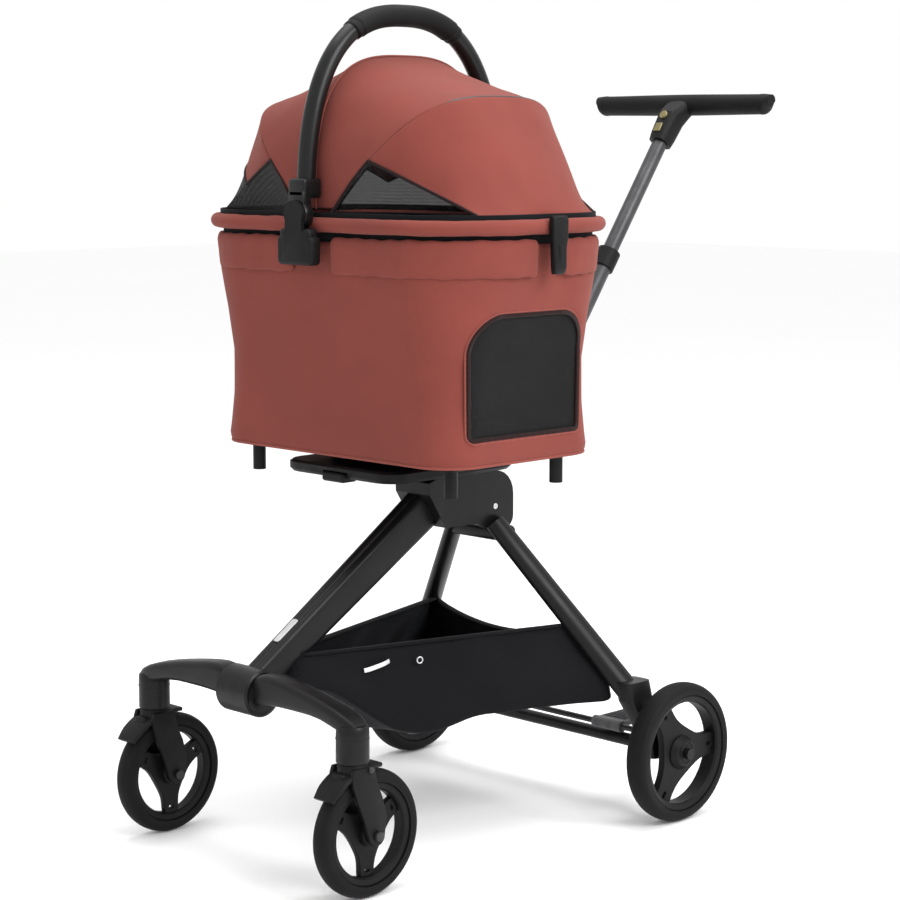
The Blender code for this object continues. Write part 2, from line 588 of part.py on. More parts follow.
def make_push_handle(height, materials):
    grip_centre = pole_point(POLE_LENGTH, -GRIP_SETBACK)
    neck_start = POLE_NECK_START
    neck = sweep([pole_point(neck_start), pole_point(neck_start + 0.012), pole_point(neck_start + 0.045),
                  grip_centre], rounded_outline(0.5, 0.5, 0.30, 3),
                 scales=[(0.029, 0.031), (0.032, 0.034), (0.036, 0.036), (0.050, 0.026)])
    half = PUSH_GRIP_LENGTH / 2
    grip_cut = rod((-half, *grip_centre.yz), (half, *grip_centre.yz), PUSH_GRIP_RADIUS + GAP, 24)
    tube_cut = rod(pole_point(neck_start - 0.01), pole_point(neck_start + 0.0303), 0.0118, 24)
    button_cut = rod(pole_point(neck_start + 0.040, 0.0095), pole_point(neck_start + 0.040, 0.04), 0.0072, 16)
    trigger_cut = block_on_pole(neck_start + 0.010, neck_start + 0.0255, 0.0125, 0.03, 0.0065)
    neck = combine(neck, [grip_cut, tube_cut, button_cut, trigger_cut], "DIFFERENCE")
    finish_piece("handle_neck", neck, materials["moulding"], height)
    rings = []
    for x, squeeze, lift in ((-half, 0.62, 0.0045), (-half + 0.006, 1.0, 0.001), (-half + 0.020, 1.0, 0),
                             (half - 0.020, 1.0, 0), (half - 0.006, 1.0, 0.001), (half, 0.62, 0.0045)):
        ring = []
        for u, v in circle_outline(PUSH_GRIP_RADIUS * squeeze, 24):
            slant = v * 0.55 * (1 if x > 0 else -1) if abs(x) > half - 0.01 else 0
            ring.append((x + slant, grip_centre.y + u, grip_centre.z + v + lift))
        rings.append(ring)
    finish_piece("push_grip", loft(rings), materials["grip"], height)
    button = make_empty("button_axis", pole_point(neck_start + 0.040), height)
    button_low, button_high = (pole_point(neck_start + 0.040, forward) for forward in (0.0135, 0.0205))
    finish_piece("release_button", rod(button_low, button_high, 0.0068, 16), materials["steel"], button)
    trigger = make_empty("trigger_axis", pole_point(neck_start + 0.018), height)
    trigger_block = block_on_pole(neck_start + 0.0104, neck_start + 0.0251, 0.0158, 0.0195, 0.0061)
    finish_piece("height_trigger", trigger_block, materials["steel"], trigger)


def block_on_pole(start, end, low, high, half_width):
    """A block square to the pole: `low` and `high` are its reach forward of the axis."""
    rings = []
    for distance in (start, end):
        corners = ((-half_width, low), (half_width, low), (half_width, high), (-half_width, high))
        rings.append([pole_point(distance, forward) + Vector((x, 0, 0)) for x, forward in corners])
    return loft(rings)


# ---------------------------------------------------------------- carrier
def tub_ring(z, half_length, half_width, corner, inset=0.0, steps=4):
    outline = rounded_outline(half_length - inset, half_width - inset, max(corner - inset, 0.01), steps)
    return [(u, CARRIER_Y + v, z) for u, v in outline]


def make_tub(inset, thickness, low):
    """A fabric tub that follows the carrier's levels: floored, and open at the top."""
    outer = [tub_ring(max(level[0], low), *level[1:], inset) for level in CARRIER_LEVELS]
    inner = [tub_ring(max(level[0], low), *level[1:], inset + thickness) for level in CARRIER_LEVELS]
    inner[0] = tub_ring(low + thickness, *CARRIER_LEVELS[0][1:], inset + thickness)
    return loft(outer + list(reversed(inner)))


def window_box(end, margin):
    half_width = WINDOW_SIZE[0] / 2 + margin
    half_height = WINDOW_SIZE[1] / 2 + margin
    outline = rounded_outline(half_width, half_height, WINDOW_CORNER + margin, 4)
    x_low, x_high = sorted((end * 0.16, end * 0.30))
    middle = CARRIER_Y + WINDOW_SHIFT
    return loft([[(x, middle + u, WINDOW_CENTRE_Z + v) for u, v in outline] for x in (x_low, x_high)])


def rim_path(half_length, half_width, corner, z, steps=5):
    return [Vector((u, CARRIER_Y + v, z)) for u, v in rounded_outline(half_length, half_width, corner, steps)]


def make_rims(carrier, materials):
    cuff_outline = rounded_outline(0.0060, (CUFF_TOP - CUFF_BOTTOM) / 2 - GAP, 0.0055, 2)
    path = rim_path(RIM_HALF_LENGTH - 0.0035, RIM_HALF_WIDTH - 0.0035, RIM_CORNER, (CUFF_TOP + CUFF_BOTTOM) / 2)
    finish_piece("lower_rim_cuff", ring_sweep(path, cuff_outline), materials["fabric"], carrier)
    path = rim_path(RIM_HALF_LENGTH, RIM_HALF_WIDTH, RIM_CORNER, RIM_HEIGHT)
    finish_piece("upper_rim", ring_sweep(path, circle_outline(RIM_RADIUS, 10)), materials["fabric"], carrier)


def ring_sweep(path, outline):
    """Sweep round a level closed path: the outline's first axis points outwards, its second up."""
    rings = []
    count = len(path)
    for i, point in enumerate(path):
        along = (path[(i + 1) % count] - path[i - 1]).normalized()
        out = along.cross(Vector((0, 0, 1)))
        rings.append([point + out * u + Vector((0, 0, v)) for u, v in outline])
    return loft(rings, looped=True)


def make_carrier(carrier, materials):
    shell = make_tub(0.0, CARRIER_WALL, CARRIER_BOTTOM)
    shell = combine(shell, [window_box(end, 0.0) for end in (-1, 1)], "DIFFERENCE")
    finish_piece("carrier_shell", shell, materials["fabric"], carrier)
    for word, end in (("left", -1), ("right", 1)):
        panel = combine(make_tub(CARRIER_WALL + GAP, 0.0015, CARRIER_BOTTOM + 0.006), [window_box(end, 0.008)],
                        "INTERSECT")
        finish_piece("mesh_window_" + word, panel, materials["mesh"], carrier)
    board = loft([tub_ring(z, *CARRIER_LEVELS[0][1:], CARRIER_WALL + 0.0025, 4)
                  for z in (CARRIER_BOTTOM + CARRIER_WALL + GAP, CARRIER_BOTTOM + CARRIER_WALL + 0.0045)])
    finish_piece("floor_board", board, materials["moulding"], carrier)
    mat = loft([tub_ring(z, *CARRIER_LEVELS[0][1:], CARRIER_WALL + inset, 4)
                for z, inset in ((CARRIER_BOTTOM + 0.0090, 0.016), (CARRIER_BOTTOM + 0.014, 0.010),
                                 (CARRIER_BOTTOM + 0.022, 0.010), (CARRIER_BOTTOM + 0.028, 0.018))])
    finish_piece("pet_mat", mat, materials["black_fabric"], carrier)
    dock = loft([[(u, CARRIER_Y + v, z) for u, v in rounded_outline(0.080, 0.075, 0.02, 3)]
                 for z in (PLATE_TOP + GAP, CARRIER_BOTTOM - 0.0042)])
    foot_x, foot_y = FOOT_PLACE
    rails = [block((-foot_x - 0.015, CARRIER_Y + y - 0.012, CARRIER_BOTTOM - 0.0060),
                   (foot_x + 0.015, CARRIER_Y + y + 0.012, CARRIER_BOTTOM - GAP), 0.0015, 1)
             for y in (-foot_y, foot_y)]
    cross = block((-0.060, CARRIER_Y - foot_y - 0.005, CARRIER_BOTTOM - 0.0058),
                  (0.060, CARRIER_Y + foot_y + 0.005, CARRIER_BOTTOM - GAP - 0.0001), 0.0015, 1)
    feet = []
    for x in (-foot_x, foot_x):
        for y in (-foot_y, foot_y):
            feet.append(rod((x, CARRIER_Y + y, 0.490), (x, CARRIER_Y + y, CARRIER_BOTTOM - 0.003), 0.009, 16))
    finish_piece("carrier_base", combine(cross, [dock, *rails, *feet], "UNION"), materials["moulding"], carrier)


def arch_points(half_span, rise, shoulder, steps, lean=0.0, foot_x=0.0, foot_z=0.0):
    """A superellipse arch over the carrier, from its front foot to its rear foot, leaning towards +X."""
    points = []
    for i in range(steps + 1):
        angle = math.pi * i / steps
        along = -math.copysign(abs(math.cos(angle)) ** (2 / shoulder), math.cos(angle)) * half_span
        height = math.sin(angle) ** (2 / shoulder) * rise
        points.append(Vector((foot_x + height * math.sin(lean), CARRIER_Y + along,
                              foot_z + height * math.cos(lean))))
    return points


def make_hood(carrier, materials):
    centre = arch_points(BOW_HALF_SPAN, CENTRE_BOW_RISE, BOW_SHOULDER, ARCH_STEPS, 0.0, 0.0, BOW_PIVOT_Z)
    finish_piece("hood_bow_centre", sweep(centre, circle_outline(BOW_RADIUS, 6)), materials["moulding"], carrier)
    for word, side in (("left", -1), ("right", 1)):
        foot = Vector((side * BOW_PIVOT_X, CARRIER_Y, BOW_PIVOT_Z))
        axis = make_empty("hood_axis_" + word, foot, carrier)
        bow = arch_points(BOW_HALF_SPAN, SIDE_BOW_RISE, BOW_SHOULDER, ARCH_STEPS, side * SIDE_BOW_LEAN,
                          foot.x, foot.z)
        finish_piece("hood_bow_" + word, sweep(bow, circle_outline(BOW_RADIUS, 6)), materials["moulding"], axis)
    leans = [side * SIDE_BOW_LEAN * share for side, share in ((-1, 1), (-1, 0.5), (0, 0), (1, 0.5), (1, 1))]
    rings = []
    for lean in leans:
        share = abs(lean) / SIDE_BOW_LEAN
        rise = CENTRE_BOW_RISE + (SIDE_BOW_RISE - CENTRE_BOW_RISE) * share
        foot_x = math.copysign(BOW_PIVOT_X * share, lean)
        rings.append(canopy_ring(lean, rise, foot_x))
    finish_piece("canopy_top", loft(rings), materials["fabric"], carrier)
    for word, side in (("left", -1), ("right", 1)):
        rings = []
        for degrees, rise in ((49.5, 0.208), (62, 0.214), (75, 0.222), (86, 0.230)):
            rings.append(canopy_ring(side * math.radians(degrees), rise, side * BOW_PIVOT_X))
        finish_piece("hood_end_" + word, loft(rings), materials["fabric"], carrier)


def canopy_ring(lean, rise, foot_x):
    """A thin band outside a bow, as a closed loop: out along the outer arch and back along the inner."""
    start = BOW_RADIUS + GAP
    outer = arch_points(BOW_HALF_SPAN + start + CANOPY_THICKNESS, rise + start + CANOPY_THICKNESS,
                        BOW_SHOULDER, ARCH_STEPS, lean, foot_x, BOW_PIVOT_Z)
    inner = arch_points(BOW_HALF_SPAN + start, rise + start, BOW_SHOULDER, ARCH_STEPS, lean,
                        foot_x, BOW_PIVOT_Z)
    return outer + list(reversed(inner))


def make_carry_handle(carrier, materials):
    swing = make_empty("carry_handle_axis", (0, CARRIER_Y, HANDLE_PIVOT_Z), carrier)
    arch = arch_points(HANDLE_HALF_SPAN, HANDLE_RISE, HANDLE_SHOULDER, 28, 0.0, 0.0, HANDLE_PIVOT_Z)
    arch = [p for p in arch if p.z > HANDLE_PIVOT_Z + 0.045]
    low = HANDLE_PIVOT_Z + 0.022
    arch = [Vector((0, CARRIER_Y - HANDLE_HALF_SPAN, low)), *arch,
            Vector((0, CARRIER_Y + HANDLE_HALF_SPAN, low))]
    tube = sweep(arch, circle_outline(HANDLE_RADIUS, 10))
    knuckles = []
    bores = []
    for end in (-1, 1):
        y = CARRIER_Y + end * HANDLE_HALF_SPAN
        near, far = y + end * 0.0035, y + end * 0.0180
        knuckles.append(rod((0, near, HANDLE_PIVOT_Z), (0, far, HANDLE_PIVOT_Z), 0.0195, 20))
        knuckles.append(block((-0.0155, min(y - end * 0.014, y + end * 0.018), HANDLE_PIVOT_Z + 0.0215),
                              (0.0155, max(y - end * 0.014, y + end * 0.018), HANDLE_PIVOT_Z + 0.038), 0.004, 1))
        knuckles.append(block((-0.0150, min(near, far), HANDLE_PIVOT_Z + 0.002),
                              (0.0150, max(near, far), HANDLE_PIVOT_Z + 0.030), 0.0))
        bores.append(rod((0, y - end * 0.03, HANDLE_PIVOT_Z), (0, y + end * 0.03, HANDLE_PIVOT_Z), 0.0058, 16))
    handle = combine(combine(tube, knuckles, "UNION"), bores, "DIFFERENCE")
    finish_piece("carry_handle", handle, materials["moulding"], swing)
    path = [p for p in arch_points(HANDLE_HALF_SPAN, HANDLE_RISE, HANDLE_SHOULDER, 28, 0.0, 0.0, HANDLE_PIVOT_Z)
            if abs(p.y - CARRIER_Y) < 0.095]
    grip = combine(sweep(path, oval_outline(0.038, 0.032, 12)),
                   [sweep(arch, circle_outline(HANDLE_RADIUS + GAP, 10))], "DIFFERENCE")
    finish_piece("carry_grip", grip, materials["grip"], swing)
    for word, end in (("front", -1), ("rear", 1)):
        y = CARRIER_Y + end * HANDLE_HALF_SPAN
        inner, outer = y + end * 0.0042, y + end * 0.0235
        ear = y + end * 0.0184
        lower = block((-0.026, min(inner, outer), 0.7890), (0.026, max(inner, outer), 0.8318), 0.004, 2)
        plate = block((-0.016, min(ear, outer), 0.815), (0.016, max(ear, outer), 0.856))
        dome = rod((0, ear, HANDLE_PIVOT_Z), (0, outer, HANDLE_PIVOT_Z), 0.0180, 24)
        pivot = rod((0, inner + end * 0.001, HANDLE_PIVOT_Z), (0, outer - end * 0.001, HANDLE_PIVOT_Z),
                    0.0055, 16)
        finish_piece("handle_mount_" + word, combine(lower, [plate, dome, pivot], "UNION"),
                     materials["moulding"], carrier)


def make_latches(carrier, materials):
    """The clasps that hold the two rims together at the ends of the carrier."""
    for word, end in (("left", -1), ("right", 1)):
        inner, outer = RIM_HALF_LENGTH + RIM_RADIUS + 0.0008, 0.2893
        axis = make_empty("latch_axis_" + word, (end * 0.284, CARRIER_Y, 0.786), carrier)
        low = (min(end * inner, end * outer), CARRIER_Y - 0.014, 0.778)
        high = (max(end * inner, end * outer), CARRIER_Y + 0.014, 0.852)
        finish_piece("rim_latch_" + word, block(low, high, 0.0022, 1), materials["moulding"], axis)


def build():
    clear_scene()
    materials = {
        "casting": make_material("satin_black_casting", (0.030, 0.030, 0.032), 0.42, 0.3),
        "moulding": make_material("black_moulding", (0.018, 0.018, 0.019), 0.55),
        "tube": make_material("dark_anodised_tube", (0.060, 0.060, 0.063), 0.35, 0.8),
        "steel": make_material("plated_steel", (0.55, 0.55, 0.55), 0.3, 1.0),
        "grip": make_material("black_grip", (0.020, 0.020, 0.021), 0.7),
        "rubber": make_material("black_tyre", (0.013, 0.013, 0.014), 0.8),
        "grey": make_material("grey_pedal", (0.16, 0.16, 0.165), 0.5),
        "fabric": make_material("terracotta_fabric", (0.36, 0.11, 0.075), 0.85),
        "black_fabric": make_material("black_fabric", (0.014, 0.014, 0.016), 0.9),
        "mesh": make_material("black_mesh", (0.010, 0.010, 0.011), 0.9),
    }
    stroller = make_empty("stroller", (0, ORIGIN_SHIFT, 0))
    make_front_frame(stroller, materials)
    make_hub(stroller, materials)
    make_platform(stroller, materials)
    for word, side in (("left", -1), ("right", 1)):
        make_front_bar(word, side, stroller, materials)
        make_caster(word, side, stroller, materials)
    make_rear_frame(stroller, materials)
    make_storage_basket(stroller, materials)
    make_push_bar(stroller, materials)
    carrier = make_empty("carrier_lift_axis", (0, CARRIER_Y, CARRIER_BOTTOM), stroller)
    make_carrier(carrier, materials)
    make_rims(carrier, materials)
    make_hood(carrier, materials)
    make_carry_handle(carrier, materials)
    make_latches(carrier, materials)


build()
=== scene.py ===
# Pet stroller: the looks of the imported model. Metres, +Z up, front casters towards -Y.
import math

import bmesh
import bpy
from mathutils import Matrix, Vector, noise


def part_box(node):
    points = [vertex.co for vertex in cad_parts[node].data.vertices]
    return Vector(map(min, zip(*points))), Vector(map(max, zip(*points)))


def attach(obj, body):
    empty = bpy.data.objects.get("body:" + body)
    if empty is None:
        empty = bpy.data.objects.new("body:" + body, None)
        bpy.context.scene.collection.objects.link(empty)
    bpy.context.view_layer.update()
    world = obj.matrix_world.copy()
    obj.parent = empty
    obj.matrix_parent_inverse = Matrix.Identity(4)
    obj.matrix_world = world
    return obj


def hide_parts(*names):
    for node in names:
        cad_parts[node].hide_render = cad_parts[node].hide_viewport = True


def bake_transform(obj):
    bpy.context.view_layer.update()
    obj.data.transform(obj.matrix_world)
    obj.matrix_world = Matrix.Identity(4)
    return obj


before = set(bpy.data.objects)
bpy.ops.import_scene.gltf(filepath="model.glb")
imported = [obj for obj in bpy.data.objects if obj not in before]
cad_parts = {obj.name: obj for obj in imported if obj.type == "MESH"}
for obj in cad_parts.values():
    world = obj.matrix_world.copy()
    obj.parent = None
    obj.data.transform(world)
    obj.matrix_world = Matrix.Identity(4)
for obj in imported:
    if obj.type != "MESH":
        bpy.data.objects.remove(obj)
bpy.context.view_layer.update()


def centreOf(node):
    low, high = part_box(node)
    return (low + high) / 2


def halfOf(node):
    low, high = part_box(node)
    return (high - low) / 2


sides = (("left", -1), ("right", 1))
ends = (("front", -1), ("rear", 1))
# the middle of the wheelbase: the frame's own places are measured from here
midY = (centreOf("front_wheel_left_tyre").y + centreOf("rear_wheel_left_tyre").y) / 2
carrierY = centreOf("upper_rim").y


def at(x, y, z):
    return Vector((x, y + midY, z))


def smoothStep(low, high, value):
    t = min(max((value - low) / (high - low), 0.0), 1.0)
    return t * t * (3 - 2 * t)


def mix(a, b, t):
    return a + (b - a) * t


def meshOf(name, bm):
    mesh = bpy.data.meshes.new(name)
    bm.to_mesh(mesh)
    bm.free()
    return mesh


def newObject(name, data):
    made = bpy.data.objects.new(name, data)
    bpy.context.collection.objects.link(made)
    return made


# camera, light and floor
stage = {
    "lens": 92.1,
    "sensor": 36,
    "cameraPlace": (2.2642, -2.3009, 0.95),
    "cameraTurn": (82.28, 0, 45.07),
    "floorSize": 14,
    "worldLevel": 1.0,
}
lamps = {   # name: place, aim, size, watts
    "keyFromRight": ((2.6, 0.1, 2.3), (0, -0.1, 0.6), 1.6, 66),
    "fillFromFront": ((-0.8, -3.4, 1.9), (0, -0.1, 0.5), 2.2, 2),
    "softTop": ((0.0, 0.2, 3.2), (0, 0, 0.5), 2.4, 60),
}


def setStage():
    scene = bpy.context.scene
    scene.view_settings.view_transform = "Standard"
    lens = bpy.data.cameras.new("viewCamera")
    lens.lens, lens.sensor_width = stage["lens"], stage["sensor"]
    camera = newObject("viewCamera", lens)
    camera.location = stage["cameraPlace"]
    camera.rotation_euler = [math.radians(a) for a in stage["cameraTurn"]]
    scene.camera = camera
    for name, (place, aim, size, watts) in lamps.items():
        light = bpy.data.lights.new(name, "AREA")
        light.size, light.energy = size, watts
        lamp = newObject(name, light)
        lamp.location = place
        lamp.rotation_euler = (Vector(aim) - Vector(place)).to_track_quat("-Z", "Y").to_euler()
    world = bpy.data.worlds.new("studio")
    world.use_nodes = True
    sky = world.node_tree.nodes["Background"].inputs
    sky["Color"].default_value = (1, 1, 1, 1)
    sky["Strength"].default_value = stage["worldLevel"]
    scene.world = world
    bm = bmesh.new()
    bmesh.ops.create_grid(bm, x_segments=1, y_segments=1, size=stage["floorSize"])
    floor = newObject("floor", meshOf("floor", bm))
    floor.data.materials.append(floorFinish())
    print("stage set")


# node helpers
def setInputs(tree, node, values):
    for key, value in values.items():
        if isinstance(value, bpy.types.NodeSocket):
            tree.links.new(value, node.inputs[key])
        else:
            node.inputs[key].default_value = value
    return node.outputs


def addNode(tree, kind, values=None, **settings):
    node = tree.nodes.new("ShaderNode" + kind)
    for key, value in settings.items():
        setattr(node, key, value)
    return setInputs(tree, node, values or {})


def noiseOf(tree, coords, scale, detail):
    return addNode(tree, "TexNoise", {"Vector": coords, "Scale": scale, "Detail": detail})["Fac"]


def ownPlace(tree):
    return addNode(tree, "TexCoord")["Object"]


def sums(tree, operation, a, b=None, c=None):
    values = {i: v for i, v in enumerate((a, b, c)) if v is not None}
    return addNode(tree, "Math", values, operation=operation)[0]


def mixFloat(tree, factor, a, b):
    return addNode(tree, "Mix", {0: factor, 2: a, 3: b}, data_type="FLOAT")[0]


def mixColor(tree, factor, a, b):
    return addNode(tree, "Mix", {0: factor, 6: a, 7: b}, data_type="RGBA")[2]


def stretch(tree, value, low, high, newLow=0.0, newHigh=1.0):
    return addNode(tree, "MapRange", {0: value, 1: low, 2: high, 3: newLow, 4: newHigh})[0]


def newGroup(name, inputs, outputs):
    tree = bpy.data.node_groups.new(name, "ShaderNodeTree")
    for label, kind, value in inputs:
        socket = tree.interface.new_socket(name=label, in_out="INPUT", socket_type="NodeSocket" + kind)
        socket.default_value = value
    for label, kind in outputs:
        tree.interface.new_socket(name=label, in_out="OUTPUT", socket_type="NodeSocket" + kind)
    return tree, tree.nodes.new("NodeGroupInput").outputs, tree.nodes.new("NodeGroupOutput").inputs


def useGroup(tree, group, values):
    return addNode(tree, "Group", values, node_tree=group)


# shared effects
def weaveGroup():
    # over and under threads on the piece's own UV map, in metres
    tree, given, out = newGroup("clothWeave", [("Threads", "Float", 900.0), ("Slub", "Float", 0.3)],
                                [("Height", "Float"), ("Gap", "Float")])
    coords = addNode(tree, "UVMap", uv_map="cloth")["UV"]
    wobble = noiseOf(tree, coords, 60.0, 2.0)
    split = addNode(tree, "SeparateXYZ", {"Vector": coords})
    waves = []
    for axis in ("X", "Y"):
        pushed = sums(tree, "MULTIPLY_ADD", wobble, 0.0004, split[axis])
        turn = sums(tree, "MULTIPLY", pushed, sums(tree, "MULTIPLY", given["Threads"], math.pi))
        waves.append(sums(tree, "SINE", turn))
    warp = sums(tree, "ABSOLUTE", waves[0])
    weft = sums(tree, "ABSOLUTE", waves[1])
    over = sums(tree, "GREATER_THAN", sums(tree, "MULTIPLY", waves[0], waves[1]), 0.0)
    height = mixFloat(tree, over, warp, weft)
    slub = noiseOf(tree, coords, 350.0, 3.0)
    uneven = sums(tree, "MULTIPLY_ADD", slub, given["Slub"], height)
    tree.links.new(uneven, out["Height"])
    tree.links.new(sums(tree, "SUBTRACT", 1.0, sums(tree, "MAXIMUM", warp, weft)), out["Gap"])
    return tree


def driftGroup():
    # slow change of tone over a surface, so that no finish is one flat colour
    tree, given, out = newGroup("toneDrift", [("Color", "Color", (0.5, 0.5, 0.5, 1)), ("Scale", "Float", 6.0),
                                              ("Amount", "Float", 0.1)], [("Color", "Color"), ("Mask", "Float")])
    place = ownPlace(tree)
    cloud = noiseOf(tree, place, given["Scale"], 4.0)
    mask = stretch(tree, cloud, 0.3, 0.7, -1.0, 1.0)
    level = sums(tree, "MULTIPLY_ADD", mask, given["Amount"], 1.0)
    toned = addNode(tree, "VectorMath", {0: given["Color"], 1: level}, operation="MULTIPLY")[0]
    tree.links.new(toned, out["Color"])
    tree.links.new(cloud, out["Mask"])
    return tree


def grainGroup():
    # the fine spark-eroded grain of moulded plastic and of powder coat
    tree, given, out = newGroup("fineGrain", [("Scale", "Float", 900.0), ("Cells", "Float", 0.5)],
                                [("Height", "Float"), ("Mask", "Float")])
    place = ownPlace(tree)
    speck = noiseOf(tree, place, given["Scale"], 2.0)
    cells = addNode(tree, "TexVoronoi", {"Vector": place, "Scale": given["Scale"]})["Distance"]
    tree.links.new(mixFloat(tree, given["Cells"], speck, cells), out["Height"])
    tree.links.new(noiseOf(tree, place, 14.0, 5.0), out["Mask"])
    return tree


def wearGroup():
    # lighter, rubbed edges, broken up by noise
    tree, given, out = newGroup("edgeWear", [("Color", "Color", (0.02, 0.02, 0.02, 1)),
                                             ("Worn", "Color", (0.1, 0.1, 0.1, 1)), ("Amount", "Float", 0.5)],
                                [("Color", "Color"), ("Mask", "Float")])
    edge = addNode(tree, "NewGeometry")["Pointiness"]
    place = ownPlace(tree)
    patch = noiseOf(tree, place, 38.0, 6.0)
    raised = stretch(tree, edge, 0.51, 0.60)
    broken = stretch(tree, patch, 0.42, 0.66)
    mask = sums(tree, "MULTIPLY", sums(tree, "MULTIPLY", raised, broken), given["Amount"])
    tree.links.new(mixColor(tree, mask, given["Color"], given["Worn"]), out["Color"])
    tree.links.new(mask, out["Mask"])
    return tree


weave, drift, grain, wear = weaveGroup(), driftGroup(), grainGroup(), wearGroup()
finishes = {}


# finishes
def newFinish(name):
    material = bpy.data.materials.new(name)
    material.use_nodes = True
    finishes[name] = material
    return material.node_tree, material.node_tree.nodes["Principled BSDF"]


def bump(tree, height, strength, distance):
    return addNode(tree, "Bump", {"Height": height, "Strength": strength, "Distance": distance})["Normal"]


def floorFinish():
    tree, shader = newFinish("paleFloor")
    cloud = noiseOf(tree, ownPlace(tree), 0.8, 3.0)
    tone = mixColor(tree, cloud, (0.955, 0.955, 0.955, 1), (0.975, 0.975, 0.975, 1))
    setInputs(tree, shader, {"Base Color": tone, "Roughness": 0.9, "Specular IOR Level": 0.1})
    return finishes["paleFloor"]


def clothFinish(name, color, threads=800.0, relief=0.35, sheen=0.09, tint=(1, 1, 1, 1)):
    # woven cloth: the gaps between threads are darker, the tone drifts, and a soft sheen lies on top
    tree, shader = newFinish(name)
    cloth = useGroup(tree, weave, {"Threads": threads, "Slub": 0.35})
    tone = useGroup(tree, drift, {"Color": (*color, 1), "Scale": 9.0, "Amount": 0.10})
    gap = stretch(tree, cloth["Gap"], 0.0, 0.6, 0.0, 0.5)
    setInputs(tree, shader, {
        "Base Color": mixColor(tree, gap, tone["Color"], (*(c * 0.55 for c in color), 1)),
        "Roughness": stretch(tree, tone["Mask"], 0.3, 0.7, 0.79, 0.91),
        "Normal": bump(tree, cloth["Height"], relief, 0.0004),
        "Sheen Weight": sheen, "Sheen Roughness": 0.45, "Sheen Tint": tint, "Specular IOR Level": 0.10})


def meshFinish(name, color, opening=0.42, solid=0.80, clear=0.16, pitch=0.0011):
    # knitted netting: round holes in a staggered grid, cut out of the sheet by its alpha
    tree, shader = newFinish(name)
    split = addNode(tree, "SeparateXYZ", {"Vector": addNode(tree, "UVMap", uv_map="cloth")["UV"]})
    waves = [sums(tree, "SINE", sums(tree, "MULTIPLY", split[axis], math.tau / pitch)) for axis in ("X", "Y")]
    netting = sums(tree, "MULTIPLY", *waves)
    tone = useGroup(tree, drift, {"Color": (*color, 1), "Scale": 12.0, "Amount": 0.2})
    setInputs(tree, shader, {
        "Base Color": tone["Color"],
        "Alpha": stretch(tree, sums(tree, "ABSOLUTE", netting), opening - 0.32, opening + 0.12, solid, clear),
        "Normal": bump(tree, netting, 0.3, 0.0003),
        "Roughness": 0.7, "Sheen Weight": 0.04, "Specular IOR Level": 0.15})


def hardFinish(name, color, roughness, metallic=0.0, worn=None, grainScale=900.0, relief=0.12, coat=0.0,
               cells=0.5, wearAmount=0.5, spread=0.08):
    # plastic, powder coat or metal: grain in the bump, uneven gloss, lighter rubbed edges
    tree, shader = newFinish(name)
    fine = useGroup(tree, grain, {"Scale": grainScale, "Cells": cells})
    tone = useGroup(tree, drift, {"Color": (*color, 1), "Scale": 7.0, "Amount": 0.12})
    rubbed = useGroup(tree, wear, {"Color": tone["Color"], "Worn": (*(worn or [c * 2.2 for c in color]), 1),
                                   "Amount": wearAmount})
    gloss = stretch(tree, fine["Mask"], 0.3, 0.7, roughness - spread, roughness + spread)
    setInputs(tree, shader, {
        "Base Color": rubbed["Color"],
        "Roughness": sums(tree, "SUBTRACT", gloss, sums(tree, "MULTIPLY", rubbed["Mask"], 0.1)),
        "Normal": bump(tree, fine["Height"], relief, 0.0002),
        "Metallic": metallic, "Specular IOR Level": 0.5 if metallic else 0.15,
        "Coat Weight": coat, "Coat Roughness": 0.25})


